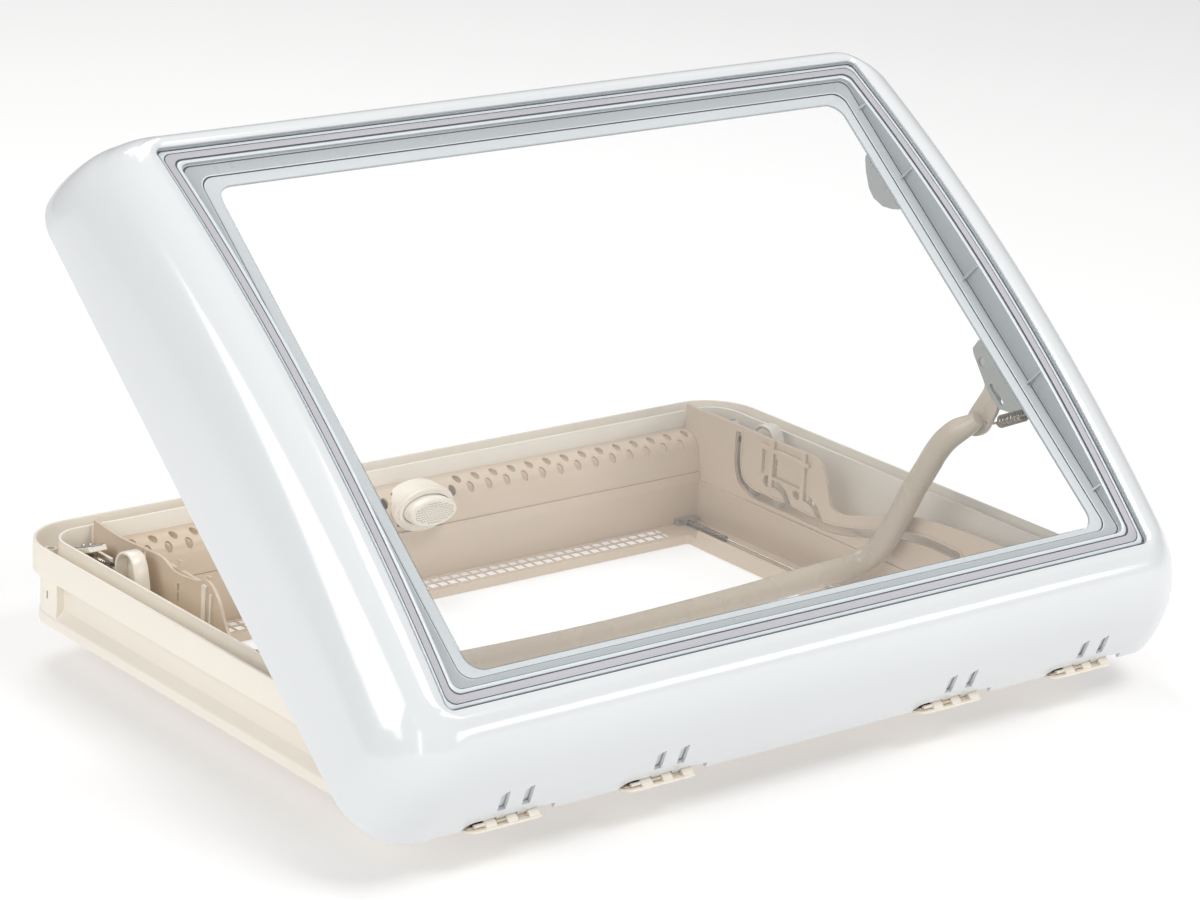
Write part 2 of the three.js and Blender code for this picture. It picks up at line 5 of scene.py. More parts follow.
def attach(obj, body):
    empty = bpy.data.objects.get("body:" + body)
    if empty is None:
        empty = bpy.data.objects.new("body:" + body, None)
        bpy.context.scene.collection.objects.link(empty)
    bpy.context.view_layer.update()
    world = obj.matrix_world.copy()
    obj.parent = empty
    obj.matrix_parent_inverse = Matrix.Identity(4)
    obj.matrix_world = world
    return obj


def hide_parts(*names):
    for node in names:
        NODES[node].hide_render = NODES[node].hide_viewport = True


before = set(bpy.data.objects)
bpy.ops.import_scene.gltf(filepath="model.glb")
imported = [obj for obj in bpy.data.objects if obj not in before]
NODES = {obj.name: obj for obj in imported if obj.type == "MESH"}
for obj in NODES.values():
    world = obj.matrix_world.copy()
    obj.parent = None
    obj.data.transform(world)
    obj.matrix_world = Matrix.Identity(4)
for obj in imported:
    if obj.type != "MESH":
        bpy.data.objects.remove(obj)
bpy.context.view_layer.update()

scene = bpy.context.scene
DY = 26.445          # mm: the object's own origin to the rim's centre along y

# ------------------------------------------------------------------ camera
CAM = (-2024.7, -2471.9 + DY, 1251.7)
AZ, EL, ROLL = math.radians(-39.5699), math.radians(18.2239), math.radians(3.3199)
back = Vector((math.sin(AZ) * math.cos(EL), -math.cos(AZ) * math.cos(EL), math.sin(EL)))
fwd = -back
rgt = fwd.cross(Vector((0, 0, 1))).normalized()
upv = rgt.cross(fwd)
rx = rgt * math.cos(ROLL) + upv * math.sin(ROLL)
ry = -rgt * math.sin(ROLL) + upv * math.cos(ROLL)
cam_data = bpy.data.cameras.new("camera")
cam = bpy.data.objects.new("camera", cam_data)
scene.collection.objects.link(cam)
m = Matrix((rx, ry, back)).transposed().to_4x4()
m.translation = Vector(CAM) / 1000
cam.matrix_world = m
cam_data.sensor_width = 36
cam_data.lens = 3915.67 / 1200 * 36
cam_data.clip_start, cam_data.clip_end = 0.05, 100
scene.camera = cam

# ------------------------------------------------------------------ materials
def new_mat(name):
    mt = bpy.data.materials.new(name)
    mt.use_nodes = True
    nt = mt.node_tree
    b = nt.nodes["Principled BSDF"]
    return mt, nt, b

def node(nt, kind, **kw):
    n = nt.nodes.new(kind)
    for k, v in kw.items():
        if k in n.inputs:
            n.inputs[k].default_value = v
        else:
            setattr(n, k, v)
    return n

def plastic(name, col, rough=0.35, var=0.03, peel=0.25, peel_scale=700, coat=0.0, spec=0.5, sss=0.0, hollow_shade=0.06, painted_glow=0.0):
    """Moulded plastic: slow colour drift, painted shade that darkens the hollows, uneven gloss and a fine orange-peel
    bump.
    """
    mt, nt, b = new_mat(name)
    L = nt.links
    tc = node(nt, "ShaderNodeTexCoord")
    n1 = node(nt, "ShaderNodeTexNoise", Scale=3.2, Detail=3.0, Roughness=0.55)
    L.new(tc.outputs["Object"], n1.inputs["Vector"])
    ramp = node(nt, "ShaderNodeValToRGB")
    ramp.color_ramp.elements[0].position, ramp.color_ramp.elements[1].position = 0.3, 0.7
    ramp.color_ramp.elements[0].color = (*[c * (1 - var) for c in col], 1)
    ramp.color_ramp.elements[1].color = (*[min(1, c * (1 + var * 0.5)) for c in col], 1)
    L.new(n1.outputs["Fac"], ramp.inputs["Fac"])
    # painted shade: a warm brown multiplied into the concave hollows, found by pointiness
    geo = node(nt, "ShaderNodeNewGeometry")
    pr = node(nt, "ShaderNodeMapRange")
    pr.inputs["From Min"].default_value, pr.inputs["From Max"].default_value = 0.40, 0.52
    pr.inputs["To Min"].default_value, pr.inputs["To Max"].default_value = hollow_shade, 0.0
    L.new(geo.outputs["Pointiness"], pr.inputs["Value"])
    mix = node(nt, "ShaderNodeMix", data_type="RGBA", blend_type="MULTIPLY")
    L.new(pr.outputs["Result"], mix.inputs[0])
    L.new(ramp.outputs["Color"], mix.inputs[6])
    mix.inputs[7].default_value = (0.55, 0.50, 0.44, 1)
    L.new(mix.outputs[2], b.inputs["Base Color"])
    n2 = node(nt, "ShaderNodeTexNoise", Scale=14.0, Detail=4.0, Roughness=0.6)
    L.new(tc.outputs["Object"], n2.inputs["Vector"])
    mr = node(nt, "ShaderNodeMapRange")
    mr.inputs["To Min"].default_value, mr.inputs["To Max"].default_value = rough * 0.86, rough * 1.16
    L.new(n2.outputs["Fac"], mr.inputs["Value"])
    L.new(mr.outputs["Result"], b.inputs["Roughness"])
    n3 = node(nt, "ShaderNodeTexNoise", Scale=peel_scale, Detail=2.0, Roughness=0.5)
    L.new(tc.outputs["Object"], n3.inputs["Vector"])
    bump = node(nt, "ShaderNodeBump")
    bump.inputs["Strength"].default_value = peel
    bump.inputs["Distance"].default_value = 0.00006
    L.new(n3.outputs["Fac"], bump.inputs["Height"])
    L.new(bump.outputs["Normal"], b.inputs["Normal"])
    b.inputs["Specular IOR Level"].default_value = spec
    b.inputs["Coat Weight"].default_value = coat
    b.inputs["Coat Roughness"].default_value = 0.08
    # painted light: the plastic emits its own colour, though it is no lamp
    if painted_glow:
        b.inputs["Emission Color"].default_value = (*col, 1)
        b.inputs["Emission Strength"].default_value = painted_glow
    if sss:
        b.inputs["Subsurface Weight"].default_value = sss
        b.inputs["Subsurface Radius"].default_value = (0.004, 0.003, 0.002)
        b.inputs["Subsurface Scale"].default_value = 1.0
    return mt

def metal(name, col, rough, streak=60.0):
    mt, nt, b = new_mat(name)
    L = nt.links
    tc = node(nt, "ShaderNodeTexCoord")
    mp = node(nt, "ShaderNodeMapping")
    mp.inputs["Scale"].default_value = (streak, streak * 4, streak)
    L.new(tc.outputs["Object"], mp.inputs["Vector"])
    n = node(nt, "ShaderNodeTexNoise", Scale=4.0, Detail=5.0, Roughness=0.65)
    L.new(mp.outputs["Vector"], n.inputs["Vector"])
    ramp = node(nt, "ShaderNodeValToRGB")
    ramp.color_ramp.elements[0].color = (*[c * 0.78 for c in col], 1)
    ramp.color_ramp.elements[1].color = (*[min(1, c * 1.12) for c in col], 1)
    L.new(n.outputs["Fac"], ramp.inputs["Fac"])
    L.new(ramp.outputs["Color"], b.inputs["Base Color"])
    mr = node(nt, "ShaderNodeMapRange")
    mr.inputs["To Min"].default_value, mr.inputs["To Max"].default_value = rough * 0.7, rough * 1.35
    L.new(n.outputs["Fac"], mr.inputs["Value"])
    L.new(mr.outputs["Result"], b.inputs["Roughness"])
    bump = node(nt, "ShaderNodeBump")
    bump.inputs["Strength"].default_value = 0.15
    bump.inputs["Distance"].default_value = 0.0001
    L.new(n.outputs["Fac"], bump.inputs["Height"])
    L.new(bump.outputs["Normal"], b.inputs["Normal"])
    b.inputs["Metallic"].default_value = 1.0
    return mt

def clear(name, tint, alpha, rough=0.03):
    """Clear cast acrylic: almost see-through, a faint tint and the faintest uneven gloss."""
    mt, nt, b = new_mat(name)
    L = nt.links
    tc = node(nt, "ShaderNodeTexCoord")
    n = node(nt, "ShaderNodeTexNoise", Scale=5.0, Detail=3.0)
    L.new(tc.outputs["Object"], n.inputs["Vector"])
    ramp = node(nt, "ShaderNodeValToRGB")
    ramp.color_ramp.elements[0].color = (*[c * 0.97 for c in tint], 1)
    ramp.color_ramp.elements[1].color = (*tint, 1)
    L.new(n.outputs["Fac"], ramp.inputs["Fac"])
    L.new(ramp.outputs["Color"], b.inputs["Base Color"])
    mr = node(nt, "ShaderNodeMapRange")
    mr.inputs["To Min"].default_value, mr.inputs["To Max"].default_value = rough * 0.6, rough * 1.6
    L.new(n.outputs["Fac"], mr.inputs["Value"])
    L.new(mr.outputs["Result"], b.inputs["Roughness"])
    b.inputs["Alpha"].default_value = alpha
    b.inputs["IOR"].default_value = 1.49
    return mt

CREAM = (0.835, 0.775, 0.680)
WHITE = (0.715, 0.735, 0.750)
MAT = {
    "cream": plastic("cream_moulded", CREAM, rough=0.36, var=0.035, sss=0.0, hollow_shade=0.25),
    # painted shade: a darker, warmer copy of the cream for the inner walls, rails, grille and recesses
    "cream_painted_shade": plastic("cream_inner_painted_shade", (0.660, 0.545, 0.425), rough=0.30, var=0.04, hollow_shade=0.25),
    "bow": plastic("bow_coated", (0.550, 0.478, 0.382), rough=0.27, var=0.04, peel=0.35, hollow_shade=0.2),
    "white": plastic("hood_white", WHITE, rough=0.16, var=0.015, peel=0.08, peel_scale=420, coat=0.6, spec=0.6, hollow_shade=0.10),
    "grey": plastic("frame_grey", (0.41, 0.445, 0.46), rough=0.28, var=0.03, hollow_shade=0.2),
    # painted highlight: light strips on the window frame's bead and step edges; also the seal's pale strip
    "pale_strip_and_highlight": plastic("frame_pale_strip_and_highlight", (0.66, 0.71, 0.74), rough=0.22, var=0.03, hollow_shade=0.1),
    "grey_warm": plastic("lip_grey", (0.56, 0.60, 0.62), rough=0.4, var=0.03, hollow_shade=0.1),
    "bracket": plastic("bracket_grey", (0.34, 0.36, 0.355), rough=0.45, var=0.05, hollow_shade=0.2),
    "seal": plastic("seal_band", (0.45, 0.445, 0.48), rough=0.5, var=0.06, peel=0.5, peel_scale=500, hollow_shade=0.1),
    # painted light: a lighter copy of the cream, for the outer frame where it lies in the hood's shade
    "cream_painted_light": plastic("cream_frame_painted_light", (0.870, 0.815, 0.725), rough=0.34, var=0.03, hollow_shade=0.30),
    # painted light: a cream that glows, for the cavity behind the rail's holes
    "cream_painted_glow": plastic("cream_painted_backlight", (0.78, 0.66, 0.52), rough=0.5, var=0.10, painted_glow=0.30),
    "lever": plastic("lever_cream", (0.86, 0.80, 0.70), rough=0.30, var=0.04, hollow_shade=0.1, coat=0.2),
    # painted shade: near-black for gaps, grooves and recesses
    "painted_gap_shade": plastic("painted_gap_shade", (0.035, 0.035, 0.04), rough=0.6, var=0.1, peel=0.4, hollow_shade=0.0),
    "steel": metal("steel_bright", (0.62, 0.61, 0.60), 0.28),
    "spring": metal("spring_wire", (0.30, 0.255, 0.215), 0.24, 200),
    "pin": metal("pin_steel", (0.50, 0.49, 0.48), 0.35),
    "clear": clear("acrylic_clear", (0.95, 0.96, 0.97), 0.03),
    "clear_in": clear("acrylic_inner", (0.95, 0.96, 0.965), 0.03),
    "clear_edge": clear("acrylic_edge", (0.45, 0.50, 0.53), 0.55, 0.1),
}

# ------------------------------------------------------------------ mesh helpers (mm in, metres out)
LID_DEG = 38.7
LA = math.radians(LID_DEG)
LID_H0 = (-301.6 + DY, 36.6)

def base_pt(p):
    return (p[0] / 1000, (p[1] + DY) / 1000, p[2] / 1000)

def lid_pt(p):
    """From the lid's own axes: x along the hinge, d up the lid, h off its rim plane."""
    x, d, h = p
    return (x / 1000, (LID_H0[0] + d * math.cos(LA) - h * math.sin(LA)) / 1000, (LID_H0[1] + d * math.sin(LA) + h * math.cos(LA)) / 1000)

PIV = (LID_H0[0] + 272 * math.cos(LA) - 77 * math.sin(LA), LID_H0[1] + 272 * math.sin(LA) + 77 * math.cos(LA))
BA = math.radians(-64.2)

def bow_pt(p):
    """From the bow's own axes: x along the hinge, s from the pivots to the cross bar, n square to both."""
    x, s, n = p
    return (x / 1000, (PIV[0] + s * math.cos(BA) - n * math.sin(BA)) / 1000, (PIV[1] + s * math.sin(BA) + n * math.cos(BA)) / 1000)

def make(name, verts, faces, mats, idx=None, smooth_deg=35):
    me = bpy.data.meshes.new(name)
    me.from_pydata([tuple(v) for v in verts], [], faces)
    me.validate()
    for mt in (mats if isinstance(mats, (list, tuple)) else [mats]):
        me.materials.append(mt)
    if idx:
        for p, i in zip(me.polygons, idx):
            p.material_index = i
    bm = bmesh.new()
    bm.from_mesh(me)
    bmesh.ops.recalc_face_normals(bm, faces=bm.faces)
    bm.to_mesh(me)
    bm.free()
    o = bpy.data.objects.new(name, me)
    scene.collection.objects.link(o)
    shade(o, smooth_deg)
    return o

def shade(o, deg=35):
    me = o.data
    bm = bmesh.new()
    bm.from_mesh(me)
    lim = math.radians(deg)
    for f in bm.faces:
        f.smooth = True
    for e in bm.edges:
        if len(e.link_faces) == 2:
            e.smooth = e.calc_face_angle(0) < lim
        else:
            e.smooth = False
    bm.to_mesh(me)
    bm.free()

def bevel(o, width=0.4, seg=2, deg=30, harden=True):
    md = o.modifiers.new("edge", "BEVEL")
    md.width = width / 1000
    md.segments = seg
    md.limit_method = "ANGLE"
    md.angle_limit = math.radians(deg)
    md.use_clamp_overlap = True
    md.harden_normals = harden
    return o

def bake(o):
    """Applies the modifiers, so that the piece is its final mesh."""
    dg = bpy.context.evaluated_depsgraph_get()
    dg.update()
    me = bpy.data.meshes.new_from_object(o.evaluated_get(dg), preserve_all_data_layers=True, depsgraph=dg)
    o.modifiers.clear()
    o.data = me
    return o

def cut(o, cutters, op="DIFFERENCE", solver="EXACT"):
    for c in cutters:
        md = o.modifiers.new("cut", "BOOLEAN")
        md.object = c
        md.operation = op
        md.solver = solver
    bake(o)
    for c in cutters:
        me = c.data
        bpy.data.objects.remove(c)
        if me.users == 0:
            bpy.data.meshes.remove(me)
    return o

def tmp(verts, faces, mat=None):
    return make("tmp_cut", verts, faces, mat or MAT["cream"])

def prism(outline, a, b, to3, name="tmp", mats=None, cap=True):
    """Prism of a 2D outline; to3((u, v), w) gives the point."""
    n = len(outline)
    vs = [to3(p, a) for p in outline] + [to3(p, b) for p in outline]
    fs = [tuple(range(n))[::-1], tuple(range(n, 2 * n))] + [(i, (i + 1) % n, n + (i + 1) % n, n + i) for i in range(n)]
    return make(name, vs, fs, mats or MAT["cream"])

def boxm(name, x0, x1, y0, y1, z0, z1, mats, to=base_pt):
    c = [(x, y, z) for x in (x0, x1) for y in (y0, y1) for z in (z0, z1)]
    return make(name, [to(p) for p in c], [(0, 1, 3, 2), (4, 6, 7, 5), (0, 4, 5, 1), (2, 3, 7, 6), (0, 2, 6, 4), (1, 5, 7, 3)], mats)

def join(name, objs, mats=None):
    bm = bmesh.new()
    me = bpy.data.meshes.new(name)
    slots = []
    for o in objs:
        base = {}
        for i, mt in enumerate(o.data.materials):
            if mt not in slots:
                slots.append(mt)
            base[i] = slots.index(mt)
        start = len(bm.faces)
        bm.from_mesh(o.data)
        bm.faces.ensure_lookup_table()
        for f in bm.faces[start:]:
            f.material_index = base.get(f.material_index, 0)
    bm.to_mesh(me)
    bm.free()
    for s in slots:
        me.materials.append(s)
    for o in objs:
        old = o.data
        bpy.data.objects.remove(o)
        if old.users == 0:
            bpy.data.meshes.remove(old)
    o = bpy.data.objects.new(name, me)
    scene.collection.objects.link(o)
    return o

def spline(pts, n, closed=False):
    """Centripetal Catmull-Rom through points, resampled to n by length."""
    P = [Vector(p) for p in pts]
    out = []
    k = len(P)
    segs = k if closed else k - 1
    for i in range(segs):
        p0 = P[(i - 1) % k] if closed or i > 0 else P[0] * 2 - P[1]
        p1, p2 = P[i % k], P[(i + 1) % k]
        p3 = P[(i + 2) % k] if closed or i + 2 < k else P[-1] * 2 - P[-2]
        t0 = 0.0
        t1 = t0 + max(1e-6, (p1 - p0).length) ** 0.5
        t2 = t1 + max(1e-6, (p2 - p1).length) ** 0.5
        t3 = t2 + max(1e-6, (p3 - p2).length) ** 0.5
        for j in range(12):
            t = t1 + (t2 - t1) * j / 12
            a1 = p0 * ((t1 - t) / (t1 - t0)) + p1 * ((t - t0) / (t1 - t0))
            a2 = p1 * ((t2 - t) / (t2 - t1)) + p2 * ((t - t1) / (t2 - t1))
            a3 = p2 * ((t3 - t) / (t3 - t2)) + p3 * ((t - t2) / (t3 - t2))
            b1 = a1 * ((t2 - t) / (t2 - t0)) + a2 * ((t - t0) / (t2 - t0))
            b2 = a2 * ((t3 - t) / (t3 - t1)) + a3 * ((t - t1) / (t3 - t1))
            out.append(b1 * ((t2 - t) / (t2 - t1)) + b2 * ((t - t1) / (t2 - t1)))
    if not closed:
        out.append(P[-1].copy())
    if n is None:
        return out
    L = [0.0]
    seq = out + ([out[0]] if closed else [])
    for a, b in zip(seq, seq[1:]):
        L.append(L[-1] + (b - a).length)
    res, j = [], 0
    cnt = n if closed else n - 1
    for i in range(n):
        d = L[-1] * i / cnt
        while j < len(L) - 2 and L[j + 1] < d:
            j += 1
        f = (d - L[j]) / max(1e-9, L[j + 1] - L[j])
        res.append(seq[j].lerp(seq[j + 1], f))
    return res

def tube(name, pts, radius, mats, sides=16, to=base_pt, cap=True, radii=None, closed=False, ref=None):
    """Round bar along points (mm), with parallel-transported sections."""
    P = [Vector(p) for p in pts]
    n = len(P)
    T = []
    for i in range(n):
        a = P[(i - 1) % n] if (closed or i > 0) else P[0]
        b = P[(i + 1) % n] if (closed or i < n - 1) else P[-1]
        T.append((b - a).normalized())
    r0 = Vector(ref) if ref else Vector((0.13, 0.27, 0.95))
    N = (r0 - T[0] * r0.dot(T[0])).normalized()
    vs, fs = [], []
    for i in range(n):
        if i:
            ax = T[i - 1].cross(T[i])
            if ax.length > 1e-9:
                N = Matrix.Rotation(T[i - 1].angle(T[i]), 3, ax.normalized()) @ N
            N = (N - T[i] * N.dot(T[i])).normalized()
        B = T[i].cross(N)
        r = radii[i] if radii else radius
        for j in range(sides):
            t = 2 * math.pi * j / sides
            ra, rb = (r if isinstance(r, (int, float)) else r[0]), (r if isinstance(r, (int, float)) else r[1])
            vs.append(to(P[i] + N * (ra * math.cos(t)) + B * (rb * math.sin(t))))
    for i in range(n if closed else n - 1):
        for j in range(sides):
            a, b = i * sides + j, i * sides + (j + 1) % sides
            c, d = ((i + 1) % n) * sides + (j + 1) % sides, ((i + 1) % n) * sides + j
            fs.append((a, b, c, d))
    if not closed and cap:
        fs.append(tuple(range(sides))[::-1])
        fs.append(tuple(range((n - 1) * sides, n * sides)))
    return make(name, vs, fs, mats)

def coil(name, a, b, radius, wire, turns, mats, to=base_pt, hooks=True, per=14):
    """Helical spring from a to b (mm) with straight hooked ends."""
    A, B = Vector(a), Vector(b)
    ax = (B - A).normalized()
    L = (B - A).length
    u = ax.cross(Vector((0, 0, 1)))
    u = (u if u.length > 0.1 else ax.cross(Vector((0, 1, 0)))).normalized()
    w = ax.cross(u)
    rr = radius - wire
    pts = []
    h = radius * 1.5 if hooks else 0.0
    if hooks:
        for k in range(9):
            t = math.pi * (1 - k / 8)
            pts.append(A + ax * (h * 0.55 * (1 - math.sin(t))) + u * (rr * 0.75 * math.cos(t)) * 1.0)
    n = int(turns * per)
    for i in range(n + 1):
        t = 2 * math.pi * i / per
        pts.append(A + ax * (h + (L - 2 * h) * i / n) + u * (rr * math.cos(t)) + w * (rr * math.sin(t)))
    if hooks:
        for k in range(9):
            t = math.pi * (k / 8)
            pts.append(B - ax * (h * 0.55 * (1 - math.sin(t))) + u * (rr * 0.75 * math.cos(t)))
    return tube(name, pts, wire, mats, sides=8, to=to)

def rr_loop(x, y, r, cy, corner, side, long_):
    """Rounded rectangle as a closed list of (x, y), corner arcs and evenly split sides."""
    p = []
    for q, (sx, sy) in enumerate(((1, 1), (-1, 1), (-1, -1), (1, -1))):
        for i in range(corner + 1):
            a = (q + i / corner) * math.pi / 2
            p.append((sx * (x - r) + r * math.cos(a), cy + sy * (y - r) + r * math.sin(a)))
        a = p[-1]
        q2 = (q + 1) % 4
        s2 = ((1, 1), (-1, 1), (-1, -1), (1, -1))[q2]
        b = (s2[0] * (x - r) + r * math.cos(q2 * math.pi / 2), cy + s2[1] * (y - r) + r * math.sin(q2 * math.pi / 2))
        k = long_ if q in (0, 2) else side
        for i in range(1, k):
            p.append((a[0] + (b[0] - a[0]) * i / k, a[1] + (b[1] - a[1]) * i / k))
    return p

def loft(name, loops, mats, idx=None, to=base_pt, warp=lambda p: p, corner=16, side=28, long_=8, closed=True, smooth_deg=35):
    """Skin through rounded rectangles (x, y, r, z, cy); idx gives each band's material."""
    rows = []
    for l in loops:
        x, y, r, z, cy = l
        rows.append([to(warp((px, py, z))) for px, py in rr_loop(x, y, max(r, 0.05), cy, corner, side, long_)])
    n, mth = len(rows[0]), len(rows)
    vs = [p for row in rows for p in row]
    fs, mi = [], []
    for j in range(mth if closed else mth - 1):
        for i in range(n):
            fs.append((j * n + i, j * n + (i + 1) % n, ((j + 1) % mth) * n + (i + 1) % n, ((j + 1) % mth) * n + i))
            mi.append(idx[j] if idx else 0)
    return make(name, vs, fs, mats, mi, smooth_deg)

def place(o, body, slot, *replaced):
    if replaced:
        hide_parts(*replaced)
    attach(o, body)
    return o

def paint(name, mat, width=0.35, seg=2, deg=30):
    o = NODES[name]
    o.data.materials.clear()
    o.data.materials.append(mat)
    if width:
        bevel(o, width, seg, deg)
    return o

WIN_Y, DOME, DOME_HALF = 326.3, 19.5, 269.0
def dome(y):
    return DOME * max(0.0, 1 - ((y - WIN_Y) / DOME_HALF) ** 2)
def sm(t):
    k = min(1.0, max(0.0, t))
    return k * k * (3 - 2 * k)
def hood_warp(p):
    x, y, z = p
    return (x, y, z + dome(y) * sm((z - 20) / 70) * sm(abs(x) / 330 + 0.6))

# ------------------------------------------------------------------ hood
BLOCKS = (-313.8, -159.6, 155.0, 310.6)
outer_prof = [(437.9, 320, 54, 0, 320), (436.8, 318.9, 54, 14, 320), (433.4, 315.6, 54, 34, 320), (428.4, 310.8, 53, 52, 320), (421.6, 304.2, 51, 67, 320),
              (412.6, 296.4, 46, 80.5, 320.8), (402, 288, 40, 90, 322.5), (392, 281, 31, 95.2, 324.4), (384, 275, 20, 96.8, 325.5), (376.3, 269.6, 8, 95.4, 326.2)]
inner_prof = [(376.3, 269.6, 8, 91.6, 326.2), (383.4, 274.2, 19, 93.4, 325.5), (390.6, 279.6, 29.6, 92, 324.4), (399.8, 286, 38, 87.4, 322.5), (410, 294, 43.6, 78.4, 320.8),
              (418.6, 301.4, 48.4, 65.6, 320), (425.2, 307.8, 50, 51, 320), (430.2, 312.5, 51, 33.6, 320), (433.6, 315.8, 51, 14, 320), (434.8, 316.9, 51, 0.0, 320)]

def fine(prof, n):
    """The profile's five numbers run through a smooth curve."""
    a = spline([(p[0], p[1], p[3]) for p in prof], n)
    # radius and centre follow the same parameter: nearest by height and x
    out = []
    for v in a:
        best, bd = None, 1e9
        for p, q in zip(prof, prof[1:]):
            A = Vector((p[0], p[1], p[3])); B = Vector((q[0], q[1], q[3]))
            t = max(0, min(1, (v - A).dot(B - A) / max(1e-9, (B - A).length_squared)))
            d = (A.lerp(B, t) - v).length
            if d < bd:
                bd, best = d, (p[2] + (q[2] - p[2]) * t, p[4] + (q[4] - p[4]) * t)
        out.append((v[0], v[1], best[0], v[2], best[1]))
    return out

hood_loops = fine(outer_prof, 44) + [(375.9, 269.2, 7.6, 94.6, 326.2), (375.9, 269.2, 7.6, 92.2, 326.2)] + fine(inner_prof, 20)[0:] + [(435.4, 317.5, 52, -0.45, 320), (437.2, 319.3, 53.6, -0.45, 320)]
hood = loft("hood_shell", hood_loops, MAT["white"], to=lid_pt, warp=hood_warp, corner=22, side=36, long_=40, smooth_deg=40)
cuts = []
for c in BLOCKS:
    zz = lambda p, w: lid_pt((p[0], w, p[1]))
    cuts.append(prism([(c - 34, -5), (c + 56.5, -5), (c + 55.6, 5.4), (c + 53.6, 7.2), (c + 42, 7.2), (c + 40, 8.8), (c + 26.7, 8.8), (c + 26.7, 2.8), (c + 26.0, 2.2), (c + 18.6, 2.2), (c + 18, 2.8), (c + 18, 8.8), (c + 6.1, 8.8), (c + 6.1, 2.8), (c + 5.4, 2.2), (c - 2.0, 2.2), (c - 2.6, 2.8), (c - 2.6, 8.8), (c - 24, 8.8), (c - 27, 8.0), (c - 30, 6), (c - 33.4, 2)], -6, 12, zz))
    for x in (c - 5.6, c + 18):
        cuts.append(prism([(x - 0.8, 18.0), (x - 0.2, 17.4), (x + 6.4, 17.4), (x + 7.0, 18.0), (x + 3.4, 38.9), (x + 2.9, 39.4), (x + 2.2, 39.4), (x - 4.4, 36.2), (x - 4.8, 35.6)], -6, 14, zz))
cut(hood, cuts)
shade(hood, 38)
place(hood, "lid", "white_shell", "hood")

# ------------------------------------------------------------------ glazing
def follow(p):
    return (p[0], p[1], p[2] + dome(p[1]))
def grid_pane(name, hx, hy, r, cy, h0, h1, mats, fol, n=40):
    """Closed pane: rounded outline, top and bottom skins that follow the dome, and a polished edge."""
    loop = rr_loop(hx, hy, r, cy, 8, n, 30)
    k = len(loop)
    rings = (1.0, 0.985, 0.94, 0.85, 0.7, 0.5, 0.3, 0.1)
    vs, fs, mi = [], [], []
    def rowpts(s, h):
        out = []
        for x, y in loop:
            p = (x * s, cy + (y - cy), h)
            out.append(lid_pt(fol(p)))
        return out
    # strips across x only, so that the dome's curve along y stays true
    for h in (h1, h0):
        for s in rings:
            vs += rowpts(s, h)
    R = len(rings)
    for s_i in range(R - 1):
        for i in range(k):
            a, b = s_i * k + i, s_i * k + (i + 1) % k
            fs.append((a, b, b + k, a + k)); mi.append(0)
            off = R * k
            fs.append((off + a, off + a + k, off + b + k, off + b)); mi.append(0)
    for i in range(k):
        fs.append((i, R * k + i, R * k + (i + 1) % k, (i + 1) % k)); mi.append(1)
    return vs, fs, mi, k, R

def pane(name, hx, hy, r, cy, h0, h1, mats, fol, nx=24, ny=56):
    """Pane from rows across x, clipped to the rounded outline, each row at its own height."""
    vs, fs, mi = [], [], []
    def half(y):
        t = abs(y - cy) - (hy - r)
        return hx if t <= 0 else hx - r + math.sqrt(max(0.0, r * r - t * t))
    ys = sorted(set([cy - hy + 2 * hy * i / ny for i in range(ny + 1)] + [cy + s * (hy - r + r * math.sin(a * math.pi / 16)) for s in (-1, 1) for a in range(0, 9)]))
    cols = nx + 1
    for h in (h1, h0):
        for y in ys:
            w = half(y)
            for i in range(cols):
                vs.append(lid_pt(fol((w * (2 * i / nx - 1), y, h))))
    R = len(ys)
    off = R * cols
    for j in range(R - 1):
        for i in range(nx):
            a = j * cols + i
            fs.append((a, a + 1, a + 1 + cols, a + cols)); mi.append(0)
            fs.append((off + a, off + a + cols, off + a + 1 + cols, off + a + 1)); mi.append(0)
    edge = [i for i in range(nx)] + [j * cols + nx for j in range(R - 1)] + [(R - 1) * cols + nx - i for i in range(nx)] + [(R - 1 - j) * cols for j in range(R - 1)]
    for i in range(len(edge)):
        a, b = edge[i], edge[(i + 1) % len(edge)]
        fs.append((a, off + a, off + b, b)); mi.append(1)
    return make(name, vs, fs, mats, mi, 30)

op = pane("outer_glazing", 374.4, 267.8, 4.0, WIN_Y, 91.8, 94.8, [MAT["clear"], MAT["clear_edge"]], follow)
place(op, "lid", "clear_acrylic", "outer_pane")

def up(p):
    return (p[0], p[1], p[2] + dome(p[1])) if p[2] > 90.45 else p


# seal under the pane's border: soft band, with painted shade, near-black strips, in the gaps either side of it
def ringl(pts, mats, idx, name, fol, corner=14, side=40, deg=30):
    return loft(name, [(x, y, r, h, cy) for x, y, r, h, cy in pts], mats, idx, to=lid_pt, warp=fol, corner=corner, side=side, long_=40, smooth_deg=deg)
seal = ringl([(375.7, 269.0, 7.6, 91.0, WIN_Y), (375.7, 269.0, 7.6, 91.55, WIN_Y), (374.2, 267.6, 7, 91.6, WIN_Y), (373.8, 267.2, 7, 91.2, WIN_Y), (373.3, 266.6, 8, 91.62, WIN_Y),
              (370.9, 264.2, 9, 91.68, WIN_Y), (370.5, 263.8, 9, 91.4, WIN_Y), (370.1, 263.4, 9, 91.68, WIN_Y), (364.6, 257.9, 9, 91.68, WIN_Y), (363.9, 257.3, 9, 91.5, WIN_Y),
              (363.4, 256.8, 9, 91.0, WIN_Y), (362.6, 256.0, 9, 91.0, WIN_Y), (362.6, 256.0, 9, 90.95, WIN_Y)],
             [MAT["seal"], MAT["painted_gap_shade"], MAT["pale_strip_and_highlight"]], [1, 1, 1, 2, 2, 1, 1, 0, 0, 1, 1, 1, 1], "pane_seal", follow)
place(seal, "lid", "seal", "gasket")

